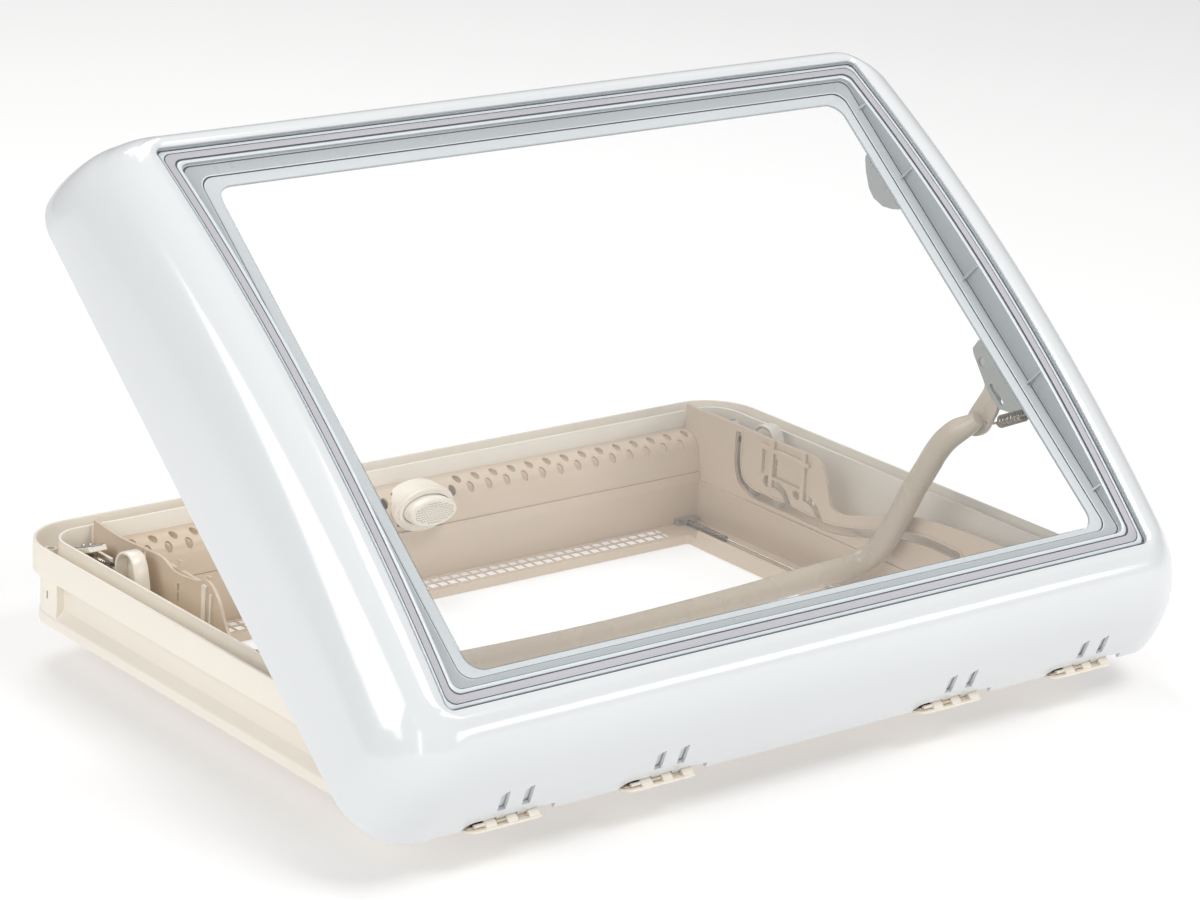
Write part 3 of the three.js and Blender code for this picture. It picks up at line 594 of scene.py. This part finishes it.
def up(p):
    return (p[0], p[1], p[2] + dome(p[1])) if p[2] > 90.45 else p
A0, A1 = (358.4, 252.0, 8.5, WIN_Y), (335.2, 234.2, 16, 320.4)
def mixl(t, h):
    k = [A0[i] + (A1[i] - A0[i]) * t for i in range(4)]
    return (k[0], k[1], k[2], h, k[3])
# painted highlight: the light strips on the bead's top and the flange's step edges
fr = [(371, 264.6, 10, 87.4, WIN_Y), (371, 264.6, 10, 90.6, WIN_Y), (362.4, 256.0, 9, 90.6, WIN_Y), (361.8, 255.4, 9, 90.95, WIN_Y), (360.8, 254.4, 9, 91.1, WIN_Y), (359.8, 253.4, 8.6, 90.95, WIN_Y), (359.2, 252.8, 8.6, 90.5, WIN_Y),
      (358.7, 252.3, 8.5, 90.44, WIN_Y), mixl(0.02, 90.15), mixl(0.07, 89.95), mixl(0.50, 89.95), mixl(0.53, 89.75), mixl(0.545, 89.25), mixl(0.575, 89.25), mixl(0.60, 89.75), mixl(0.95, 89.75), mixl(0.985, 89.5), mixl(1.0, 89.0), mixl(1.0, 87.4)]
# painted shade: near-black strips where the flange meets the upstand and in the flange's groove
wf = ringl(fr, [MAT["grey"], MAT["pale_strip_and_highlight"], MAT["painted_gap_shade"], MAT["grey_warm"]],
           [0, 0, 1, 1, 1, 1, 0, 0, 2, 0, 1, 2, 2, 1, 3, 3, 3, 3, 0], "window_frame", up)
ribs = [wf]
for s_ in (-1, 1):
    for y in (120, 235, 350, 465, 545):
        a, b = (347.5, 359.5) if s_ > 0 else (-359.5, -347.5)
        top = 89.6 + dome(y)
        if dome(y) > 1.5:
            vs = [(s_ * 359.6, y - 0.9, 89.8), (s_ * 359.6, y + 0.9, 89.8), (s_ * 359.6, y + 0.9, top), (s_ * 359.6, y - 0.9, top), (s_ * 353.2, y - 0.9, 89.8), (s_ * 353.2, y + 0.9, 89.8), (s_ * 357.4, y + 0.9, top), (s_ * 357.4, y - 0.9, top)]
            ribs.append(make("rib", [lid_pt(v) for v in vs], [(0, 1, 2, 3), (4, 7, 6, 5), (0, 4, 5, 1), (1, 5, 6, 2), (2, 6, 7, 3), (3, 7, 4, 0)], MAT["grey"]))
wf = join("window_frame", ribs)
place(wf, "lid", "grey_frame", "pane_frame")
ip = pane("inner_glazing", 334.6, 233.6, 15.6, 320.4, 87.8, 89.9, [MAT["clear_in"], MAT["clear_edge"]], lambda p: p, nx=8, ny=12)
place(ip, "lid", "clear_acrylic", "inner_pane")

# ------------------------------------------------------------------ outer frame
sec = [(0, 108.8), (0.25, 109.55), (1.2, 110), (2.4, 110), (2.85, 109.7), (3, 109), (3, 87.2), (3.5, 86.3), (4.5, 86), (20.4, 86), (21.3, 86.4), (21.6, 87.4), (21.6, 109.2), (21.85, 109.75), (22.4, 110), (23.6, 110), (24.15, 109.75), (24.4, 109.2),
       (24.4, 38.5), (21.4, 38.5), (21.4, 83), (17, 83), (17, 53.5), (9, 45), (9, 38.7), (8.8, 38.5), (6.2, 38.5), (6, 38.7), (6, 46.2), (6.3, 47.5), (7, 48.4), (13.6, 54.8), (14.2, 56.2), (14.2, 82.6), (13.5, 83.5), (0.8, 83.5), (0.2, 83.8), (0, 84.5)]
# outer frame and posts in the lighter cream copy: painted light
of_ = loft("frame_rim", [(400 - d, 280 - d, 52 - d, z, 0) for d, z in sec], MAT["cream_painted_light"], corner=24, side=4, long_=4, smooth_deg=32)
parts = [of_]
for sx in (-1, 1):
    for sy in (-1, 1):
        out = [(340, 273.2)] + [(348 + 45.2 * math.cos(math.pi / 2 * (1 - t / 16)), 228 + 45.2 * math.sin(math.pi / 2 * (1 - t / 16))) for t in range(17)] + [(393.2, 214)]
        inn = [(385.2, 214)] + [(348 + 37.2 * math.cos(math.pi / 2 * t / 16), 228 + 37.2 * math.sin(math.pi / 2 * t / 16)) for t in range(17)] + [(340, 265.2)]
        pl = [(sx * x, sy * y) for x, y in out + inn]
        parts.append(prism(pl, 47, 84.0, lambda p, w: base_pt((p[0], p[1], w)), "post", MAT["cream_painted_light"]))
for o in parts[1:]:
    shade(o, 32)
posts = join("posts", parts[1:])
slots_ = [boxm("c", sx * 396 if sx < 0 else 386, sx * 386 if sx < 0 else 396, 228, 231, 62, 69, MAT["cream_painted_shade"]) for sx in (-1, 1)]
cut(posts, [join("cc", slots_)])
bevel(posts, 0.5, 2)
bake(posts)
of_ = join("frame_rim", [of_, posts])
place(of_, "base", "cream_plastic", "outer_frame")

# ------------------------------------------------------------------ side walls with the bow's track
def band2(pts, w, n):
    c = spline([(a, b, 0) for a, b in pts], n)
    L, R = [], []
    for i, p in enumerate(c):
        t = (c[min(i + 1, n - 1)] - c[max(i - 1, 0)]).normalized()
        L.append((p.x - t.y * w / 2, p.y + t.x * w / 2)); R.append((p.x + t.y * w / 2, p.y - t.x * w / 2))
    def cap(p, t, sgn):
        a0 = math.atan2(t.y, t.x)
        return [(p.x + w / 2 * math.cos(a0 + sgn * math.pi / 2 - sgn * math.pi * k / 12), p.y + w / 2 * math.sin(a0 + sgn * math.pi / 2 - sgn * math.pi * k / 12)) for k in range(1, 12)]
    te = (c[-1] - c[-2]).normalized(); ts = (c[0] - c[1]).normalized()
    return L + cap(c[-1], te, 1) + R[::-1] + cap(c[0], ts, 1)
def circ2(y, z, r, n=28):
    return [(y + r * math.cos(2 * math.pi * k / n), z + r * math.sin(2 * math.pi * k / n)) for k in range(n)]
wallTop = [(-252, 109.5), (-182, 109.5), (-131, 107.5), (-92, 104.5), (-53, 97.5), (-20, 87.5), (11, 77.6), (29, 74.6), (37, 76.4), (41.5, 82), (45, 92.6), (49, 105), (55, 113.5), (62, 117.6), (70, 118.8), (100, 118.6), (132, 118.2), (165, 118.6), (214, 118.3), (232, 117.4), (246, 118.6), (252, 118)]
wallTopLeft = wallTop[:9] + [(49, 91), (54, 101), (62, 110.4), (71, 116.4), (79, 116.6), (85, 113.4), (104, 110.4), (126, 109.9), (137, 114), (143, 115.8), (174, 115), (206, 113.2), (227, 114), (252, 116)]
for side in (1, -1):
    tag = "right" if side > 0 else "left"
    yz = lambda p, w: base_pt((side * w, p[0], p[1]))
    top = [(p.x, p.y) for p in spline([(a, b, 0) for a, b in (wallTop if side > 0 else wallTopLeft)], 150)]
    # inner wall in the darker cream copy: painted shade
    w = prism([(-252, 48.7)] + top + [(252, 48.7)], 331, 334, yz, "guide_" + tag, [MAT["cream_painted_shade"]])
    trk = [prism(band2([(172.5, 109), (172.5, 92), (171.5, 80), (166, 67), (152, 59.5), (128, 58), (95, 58), (60, 57.2), (36, 57.6), (8, 62.5), (-20, 70), (-52, 79), (-92, 84), (-132, 83.5)], 8.5, 90), 320, 345, yz),
           prism(band2([(129, 76.2), (116, 76), (104, 71), (96, 60)], 7.5, 24), 320, 345, yz), prism(band2([(86.5, 76.2), (74, 76), (61, 71), (52, 60)], 7.5, 24), 320, 345, yz),
           prism(circ2(129, 76.2, 5.6), 320, 345, yz), prism(circ2(86.5, 76.2, 5.6), 320, 345, yz),
           prism([(116.2, 85), (118.6, 85), (118.6, 93), (116.2, 93)], 320, 345, yz), prism([(116.2, 94.5), (118.6, 94.5), (118.6, 101), (116.2, 101)], 320, 345, yz)]
    cut(w, trk)
    rb = [prism([(73, 70), (79, 70), (79, 112.4), (78, 113), (74, 113), (73, 112.4)], 333.7, 336.2, yz, "rb", MAT["cream"]), prism([(64.5, 70), (67, 70), (67, 108), (64.5, 108)], 333.7, 336.2, yz, "rb", MAT["cream"])]
    J = [(172.5, 109), (172.5, 92), (171.5, 80), (166, 67), (152, 59.5), (128, 58), (95, 58), (60, 57.2), (36, 57.6), (8, 62.5), (-20, 70), (-52, 79), (-92, 84), (-132, 83.5)]
    lip = prism(band2(J, 11.6, 90), 330.1, 331.2, yz, "lip", [MAT["cream_painted_shade"]])
    cut(lip, [prism(band2(J, 8.5, 90), 320, 345, yz), prism(circ2(129, 70, 9), 320, 345, yz), prism(circ2(86.5, 70, 9), 320, 345, yz), prism([(92, 60), (104, 60), (104, 66), (92, 66)], 320, 345, yz), prism([(48, 59), (60, 59), (60, 66), (48, 66)], 320, 345, yz)])
    rb.append(lip)
    rb.append(prism([(-224.6, 48.6), (-224.6, 46.4), (224.6, 46.4), (224.6, 48.6)], 329.2, 331.2, yz, "shelf", [MAT["cream_painted_shade"]]))
    w = join("guide_" + tag, [w] + rb)
    shade(w, 28)
    bevel(w, 0.45, 2, 35)
    place(w, "base", "cream_plastic", "guide_wall_" + tag)

# ------------------------------------------------------------------ rails
rs = [(255.2, 94.2), (248.5, 93.9), (239.6, 91.4), (232.4, 84.8), (228.6, 73), (226.6, 57.3)]
ri = [(229.2, 57.3), (231.2, 72.4), (234.6, 83.2), (241, 88.9), (248.8, 91.2), (255.2, 91.5)]
outl = [(p.x, p.y) for p in spline([(a, b, 0) for a, b in rs], 30)] + [(p.x, p.y) for p in spline([(a, b, 0) for a, b in ri], 26)]
yzb = lambda p, w: base_pt((w, p[0], p[1]))
# rail in the darker cream copy: painted shade
vr = prism(outl, -330.7, 330.7, yzb, "rail_far", [MAT["cream_painted_shade"], MAT["cream_painted_shade"]])
def oval_cut(x, y, z, tilt, a=3.7, b=5.4, L=9, n=32):
    t = math.radians(tilt)
    ax = Vector((0, math.cos(t), math.sin(t)))        # along the drill, before the sign below
    e2 = Vector((0, -math.sin(t), math.cos(t)))
    vs = []
    for k in (-L, L):
        for j in range(n):
            u = 2 * math.pi * j / n
            vs.append(base_pt(Vector((x, y, z)) + Vector((1, 0, 0)) * (a * math.cos(u)) + e2 * (b * math.sin(u)) + ax * k))
    return vs, [tuple(range(n))[::-1], tuple(range(n, 2 * n))] + [(j, (j + 1) % n, n + (j + 1) % n, n + j) for j in range(n)]
V, F = [], []
for i in range(14):
    for s_ in (-1, 1):
        for x, y, z, t in ((s_ * (38 + i * 21), 234.2, 84.9, -42), (s_ * (49 + i * 21), 242.4, 91.2, -72)):
            vs, fs = oval_cut(x, y, z, t)
            k = len(V)
            V += vs
            F += [tuple(q + k for q in f) for f in fs]
cut(vr, [make("ovals", V, F, MAT["cream_painted_shade"]), boxm("cb", -27.5, 27.5, 220, 240, 63, 92.5, MAT["cream_painted_shade"])])
shade(vr, 32)
bevel(vr, 0.35, 2, 40)
place(vr, "base", "cream_plastic", "vent_rail")
fr_ = prism([(-a, b) for a, b in outl], -330.7, 330.7, yzb, "rail_hinge", MAT["cream"])
bevel(fr_, 0.35, 2, 40)
place(fr_, "base", "cream_plastic", "front_rail")

# vent grille: thin lattice in its pocket
# grille in the darker cream copy: painted shade
gb = [boxm("g", -279.7, 279.7, y0, y1, 7.1, 8.5, MAT["cream_painted_shade"]) for y0, y1 in ((198.9, 200.3), (210.9, 212.3), (222.7, 223.9))]
gb += [boxm("g", i * 11.1 + 5.55 - 0.95, i * 11.1 + 5.55 + 0.95, 198.95, 223.85, 7.2, 8.45, MAT["cream_painted_shade"]) for i in range(-25, 25)]
gb += [boxm("g", sx * 278.4 - 1.3, sx * 278.4 + 1.3, 198.92, 223.88, 7.15, 8.48, MAT["cream_painted_shade"]) for sx in (-1, 1)]
gr = join("grille", gb)
bevel(gr, 0.25, 2, 40)
place(gr, "base", "cream_plastic", "vent_grille")
# strip behind the rail's holes: painted light, a cream strip that glows to stand in for daylight reaching the cavity
bk = [(232.8, 62), (235.4, 73), (239.6, 82.2), (246.4, 87.6), (254, 89.2), (254, 88.2), (246.8, 86.6), (240.4, 81.6), (236.4, 72.8), (233.8, 62)]
bs = join("rail_backing", [prism([(a + 1.2, b - 1.0) for a, b in bk], x0, x1, yzb, "rb", [MAT["cream_painted_glow"]]) for x0, x1 in ((-330, -56), (56, 330))])
shade(bs, 40)
place(bs, "base", "cream_plastic")

# ------------------------------------------------------------------ push button and collar
def oval_ring(name, rows, mats, n=72, closed=True, cz=77.8, caps=False):
    vs, fs = [], []
    for y, a, b in rows:
        for j in range(n):
            t = 2 * math.pi * j / n
            vs.append(base_pt((a * math.cos(t), y, cz + b * math.sin(t))))
    R = len(rows)
    for i in range(R if closed else R - 1):
        for j in range(n):
            fs.append((i * n + j, i * n + (j + 1) % n, ((i + 1) % R) * n + (j + 1) % n, ((i + 1) % R) * n + j))
    if caps:
        fs.append(tuple(range(n))[::-1]); fs.append(tuple(range((R - 1) * n, R * n)))
    return make(name, vs, fs, mats, smooth_deg=40)
col = oval_ring("collar", [(243, 26.8, 14.2), (219.9, 26.8, 14.2), (219.5, 27.2, 14.6), (219.4, 28.2, 16.2), (219.5, 29.9, 18.9), (219.9, 30.5, 19.5), (221.6, 30.7, 19.7), (222.7, 31.4, 20.4), (223.4, 32.4, 21.4), (224, 33, 22), (243, 33, 22)], [MAT["cream"]])
cut(col, [prism([(255.2, 94.6), (248.4, 94.3), (239.3, 91.8), (232, 85), (228.2, 73.1), (226.2, 57.3), (224.7, 57.3), (224.7, 50), (270, 50), (270, 94.6)], -60, 60, yzb)])
shade(col, 35)
place(col, "base", "cream_plastic", "button_collar")
btn = oval_ring("push_button", [(236, 26, 13.4), (210.6, 26, 13.4), (209.6, 25.8, 13.2), (208.7, 25.2, 12.6), (208.2, 24.2, 11.7), (208.0, 23, 10.6), (208.1, 17, 7.6), (208.5, 9, 4), (208.6, 0.8, 0.4)], [MAT["cream"]], closed=False, caps=True)
DV, DF = [], []
for iz in range(-4, 5):
    for ix in range(-7, 8):
        x, z = ix * 3.1 + (1.55 if iz % 2 else 0), iz * 2.25
        if (x / 21) ** 2 + (z / 10) ** 2 < 1:
            k = len(DV)
            for y in (205.5, 209.3):
                DV += [base_pt((x + 1.05 * math.cos(math.pi * q / 3), y, 77.8 + z + 0.62 * math.sin(math.pi * q / 3))) for q in range(6)]
            DF += [tuple(k + q for q in range(6))[::-1], tuple(k + 6 + q for q in range(6))] + [(k + q, k + (q + 1) % 6, k + 6 + (q + 1) % 6, k + 6 + q) for q in range(6)]
cut(btn, [make("dimples", DV, DF, MAT["cream_painted_shade"])])
shade(btn, 35)
place(btn, "button", "cream_plastic", "lock_button")

# ------------------------------------------------------------------ bow handle
BX = 315.5
half = [(BX + 15, 44, -26.5), (BX + 12, 52, -23.8), (BX + 6, 63.7, -18.7), (BX + 1.7, 77.4, -15), (BX, 93, -13), (BX, 110, -11.8), (BX, 140, -9.6), (BX, 180, -9), (BX, 204, -7.4), (BX - 0.6, 219, -5.4), (BX - 5, 231.5, -2.6), (BX - 16, 239.4, -1.5),
        (BX - 38, 242.2, -1.5), (236, 244.6, -1.5), (180, 248.6, -1.5), (120, 251.6, -1.5), (55, 253.8, -1.5)]
path = half + [(0, 254.5, -1.5)] + [(-x, y, z) for x, y, z in half[::-1]]
pts = spline(path, 260)
total = len(pts)
radii = []
for i in range(total):
    k = min(i, total - 1 - i)
    radii.append(11.2 * (0.62 + 0.38 * sm((k + 1.5) / 8.0)))
bar = tube("bar", pts, 11.2, [MAT["bow"]], sides=40, to=bow_pt, radii=radii)
bits = [bar]
for s_ in (1, -1):
    ol = [(-6.2, -2), (-4.5, 4.5), (0, 6.4), (4.5, 4.6), (8, 0), (13, -7), (19.3, -12), (35, -11.4), (51, -9.9), (62, -11.0), (68, -16), (67, -25), (60, -32), (52.6, -35.1), (40, -35.4), (26.5, -34.8), (13, -28), (1, -14)]
    ol = [(p.x, p.y) for p in spline([(a, b, 0) for a, b in ol], 110, closed=True)]
    lug = prism(ol, 337.0, 341.4, lambda p, w: bow_pt((s_ * w, p[0], p[1])), "lug", [MAT["bow"]])
    cut(lug, [prism(circ2(0, 0, 4.35, 32), 325, 350, lambda p, w: bow_pt((s_ * w, p[0], p[1]))), prism(circ2(46, -31.6, 1.6, 20), 325, 350, lambda p, w: bow_pt((s_ * w, p[0], p[1])))])
    bevel(lug, 1.3, 3, 40)
    bake(lug)
    shade(lug, 30)
    bits.append(lug)
bow = join("bow_handle", bits)
place(bow, "bow", "cream_plastic", "bow")

# ------------------------------------------------------------------ springs, wires
for side in (1, -1):
    tag = "right" if side > 0 else "left"
    X = lambda x, y, z: (side * x, y, z)
    o = coil("pull_spring_" + tag, (side * 348, 230.2, 37.0), (side * 348, 209.6, 82.4), 6.0, 1.05, 15, [MAT["spring"]], to=lid_pt)
    place(o, "spring_" + tag, "steel", "bow_spring_" + tag)
    o = coil("plunger_coil_" + tag, X(356, 221, 94.2), X(356, 187, 96.4), 4.9, 0.85, 12, [MAT["spring"]], hooks=False)
    place(o, "base", "dark_spring_steel", "plunger_spring_" + tag)
    o = coil("wire_coil_" + tag, X(313, 160.4, 11.5), X(313, 214, 11.5), 2.6, 0.42, 58, [MAT["spring"]], hooks=False, per=10)
    place(o, "base", "dark_spring_steel", "wire_spring_" + tag)
    o = tube("wire_" + tag, [X(313, -186 + 346 * k / 8, 11.5 - 0.35 * math.sin(math.pi * k / 8)) for k in range(9)], 0.9, [MAT["steel"]], sides=12)
    place(o, "base", "steel", "guide_wire_" + tag)

# ------------------------------------------------------------------ release levers, plates, hinge blocks
for side in (1, -1):
    tag = "right" if side > 0 else "left"
    yz = lambda p, w: base_pt((side * w, p[0], p[1]))
    arch = spline([(172.5, 43.4, 0), (172, 84, 0), (172.6, 100, 0), (171.5, 110, 0), (166.5, 116.5, 0), (159, 119.4, 0), (151, 118.6, 0), (145.5, 113, 0), (142, 103, 0), (139, 88, 0), (136.4, 66, 0), (135.5, 43.4, 0)], 70)
    th = 2.6
    o1, o2 = [], []
    for i, p in enumerate(arch):
        t = (arch[min(i + 1, 69)] - arch[max(i - 1, 0)]).normalized()
        o1.append((p.x - t.y * th / 2, p.y + t.x * th / 2)); o2.append((p.x + t.y * th / 2, p.y - t.x * th / 2))
    lv = prism(o1 + o2[::-1], 347.5, 361.5, yz, "lever", [MAT["lever"]])
    web = prism([(p.x, p.y) for p in spline([(171, 60, 0), (171, 104, 0), (165, 114.5, 0), (158, 117.5, 0), (151.5, 116, 0), (147, 109, 0), (143.4, 98, 0), (141, 84, 0), (150, 76, 0), (160, 68, 0)], 50, closed=True)], 347.8, 350.2, yz, "web", [MAT["lever"]])
    bevel(lv, 1.0, 3, 35); bake(lv); shade(lv, 30)
    bevel(web, 0.5, 2, 35); bake(web); shade(web, 30)
    lv = join("release_lever_" + tag + "_v", [lv, web])
    place(lv, "lever_" + tag, "cream_plastic", "release_lever_" + tag)
    # bent riveted plate on its bracket
    pl = prism([(241, 97.6), (241, 98.8), (214, 109.4), (212.6, 109.2), (212.6, 108.0), (213.6, 108.2)], 349, 361, yz, "plate", [MAT["steel"]])
    bevel(pl, 0.35, 2, 35); bake(pl)
    rv = []
    for y in (233.5, 222.5):
        zt = 98.8 + (241 - y) * 0.3926
        c0, ax = Vector((355, y, zt - 0.3)), Vector((0, 0.365, 0.931))
        rv.append(tube("rivet", [Vector((side * 355, y, zt - 0.3)) + ax * q for q in (0, 0.9, 1.4, 1.7)], 2.3, [MAT["pin"]], sides=20, radii=[2.3, 2.3, 1.7, 0.7]))
    pl = join("plate_" + tag, [pl] + rv)
    place(pl, "base", "steel", "anchor_plate_" + tag)
    ab = [boxm("a", *sorted((side * 343, side * 364)), 236.5, 241.5, 41.6, 98, MAT["cream"]), prism([(241.5, 93.5), (241.5, 97.4), (213, 108.2), (210, 104)], 345.5, 363.5, yz, "a", [MAT["cream"]]), boxm("a", *sorted((side * 342, side * 345.6)), 206, 241.5, 41.6, 97, MAT["cream"])]
    ab = join("bracket_" + tag, ab)
    bevel(ab, 0.7, 2, 35)
    place(ab, "base", "cream_plastic", "anchor_bracket_" + tag)
    pg = [boxm("a", *sorted((side * 349, side * 363)), 222.4, 227, 41.6, 98.5, MAT["cream"]), tube("pl", [X2 for X2 in ((side * 356, 227, 94.0), (side * 356, 181, 96.8))], 2.0, [MAT["pin"]], sides=16)]
    pg = join("plunger_" + tag + "_v", pg)
    bevel(pg, 0.5, 2, 35)
    place(pg, "base", "cream_plastic", "plunger_lug_" + tag)
lug_prof = [(-309.6, 36.6), (-309.6, 38.8), (-308.4, 40.2), (-303.4, 44.2), (-301.2, 48), (-298.6, 55), (-296.6, 59.6), (-294, 60.8), (-291, 59.8), (-288.8, 56.4), (-284.6, 46), (-283, 38.7)]
for i, c in enumerate(BLOCKS):
    ol = [(c - 31.5, -301), (c - 30, -305.6), (c - 26.5, -308.8), (c - 21, -310.4), (c + 36, -310.4), (c + 39.6, -309.2), (c + 40.6, -304), (c + 39, -275.2), (c - 31, -275.2)]
    hb = [prism(ol, 35.6, 37.8, lambda p, w: base_pt((p[0], p[1], w)), "h", [MAT["cream"]])]
    for x0, x1 in ((c - 14.5, c - 3.8), (c + 6.8, c + 16.6), (c + 27.4, c + 37.6)):
        hb.append(prism(lug_prof, x0, x1, yzb, "h", [MAT["cream"]]))
    # recessed plate and barrel in the darker cream copy: painted shade
    hb.append(boxm("h", c - 29, c + 38.6, -305.0, -275.2, 37.4, 39.4, MAT["cream_painted_shade"]))
    hb.append(boxm("h", c - 31, c + 39, -278, -275.2, 40, 46.6, MAT["cream"]))
    hb.append(tube("h", [(c - 24, -305.6, 40.0), (c - 14, -305.6, 40.0)], 1.7, [MAT["cream"]], sides=20))
    hb.append(tube("h", [(c - 3.0, -305.4, 39.6), (c + 7.2, -305.4, 39.6)], 1.4, [MAT["cream_painted_shade"]], sides=20))
    # painted shade: a near-black box standing in for the dark pin recess
    hb.append(boxm("h", c - 26, c - 14.6, -303.6, -301.0, 40, 46, MAT["painted_gap_shade"]))
    hb = join(f"hinge_base_{i + 1}", hb)
    bevel(hb, 0.35, 2, 40)
    place(hb, "base", "cream_plastic", f"hinge_block_{i + 1}")

# ------------------------------------------------------------------ nodes carried over, with edges and materials
# liner and latch gates in the darker cream copy: painted shade
rest = {"liner_frame": ("cream_painted_shade", 0.5), "gutter_boss": ("cream", 0.3)}
for side in ("right", "left"):
    rest.update({"latch_gate_" + side: ("cream_painted_shade", 0.5), "wire_clip_" + side: ("steel", 0.3), "lower_bracket_" + side: ("bracket", 0.4), "upper_bracket_" + side: ("bracket", 0.4), "bow_pin_" + side: ("pin", 0.4)})
for i in range(1, 5):
    rest.update({f"hinge_pin_{i}": ("pin", 0.3), f"hinge_leaf_{i}": ("white", 0.5)})
for k, (mt, w) in rest.items():
    if k in NODES:
        paint(k, MAT[mt], w)

# ------------------------------------------------------------------ floor and light
def emit_area(name, loc, target, size, power, color=(1, 1, 1), size_y=None):
    ld = bpy.data.lights.new(name, "AREA")
    ld.shape = "RECTANGLE"
    ld.size, ld.size_y = size, size_y or size
    ld.energy = power
    ld.color = color
    o = bpy.data.objects.new(name, ld)
    scene.collection.objects.link(o)
    o.location = loc
    o.rotation_euler = (Vector(target) - Vector(loc)).to_track_quat("-Z", "Y").to_euler()
    return o
emit_area("key", (-3.4, -0.6, 1.9), (0, 0, 0.2), 2.6, 62, (1.0, 0.995, 0.985), 2.0)
emit_area("front", (0.8, -2.0, 3.5), (0, 0, 0.15), 2.0, 82, (1.0, 0.99, 0.975), 1.4)
emit_area("top", (0.3, 1.9, 3.0), (0, 0.1, 0.1), 1.6, 46, (1.0, 0.985, 0.96))
emit_area("strip", (-2.3, -3.2, 0.9), (-0.2, -0.2, 0.2), 0.14, 8, (1, 1, 1), 2.2)
emit_area("band", (2.0, -4.0, 0.95), (0, -0.3, 0.2), 3.0, 30, (1, 1, 1), 0.6)
wd = bpy.data.worlds.new("studio")
scene.world = wd
wd.use_nodes = True
wd.node_tree.nodes["Background"].inputs["Color"].default_value = (0.97, 0.98, 1.0, 1)
wd.node_tree.nodes["Background"].inputs["Strength"].default_value = 0.30
fm, fnt, fb = new_mat("floor")
ftc = node(fnt, "ShaderNodeTexCoord")
fn = node(fnt, "ShaderNodeTexNoise", Scale=0.6, Detail=2.0)
fnt.links.new(ftc.outputs["Object"], fn.inputs["Vector"])
frp = node(fnt, "ShaderNodeValToRGB")
frp.color_ramp.elements[0].color = (0.54, 0.54, 0.54, 1)
frp.color_ramp.elements[1].color = (0.56, 0.56, 0.56, 1)
fnt.links.new(fn.outputs["Fac"], frp.inputs["Fac"])
fnt.links.new(frp.outputs["Color"], fb.inputs["Base Color"])
fb.inputs["Roughness"].default_value = 0.9
fb.inputs["Emission Color"].default_value = (1, 1, 1, 1)
fb.inputs["Emission Strength"].default_value = 0.45
fb.inputs["Specular IOR Level"].default_value = 0.1
fme = bpy.data.meshes.new("floor")
S = 40
fme.from_pydata([(-S, -S, 0), (S, -S, 0), (S, S, 0), (-S, S, 0)], [], [(0, 1, 2, 3)])
fme.materials.append(fm)
floor = bpy.data.objects.new("floor", fme)
scene.collection.objects.link(floor)
floor.location.z = -0.0005
scene.view_settings.view_transform = "Standard"
scene.view_settings.look = "None"
scene.view_settings.exposure = 0.0
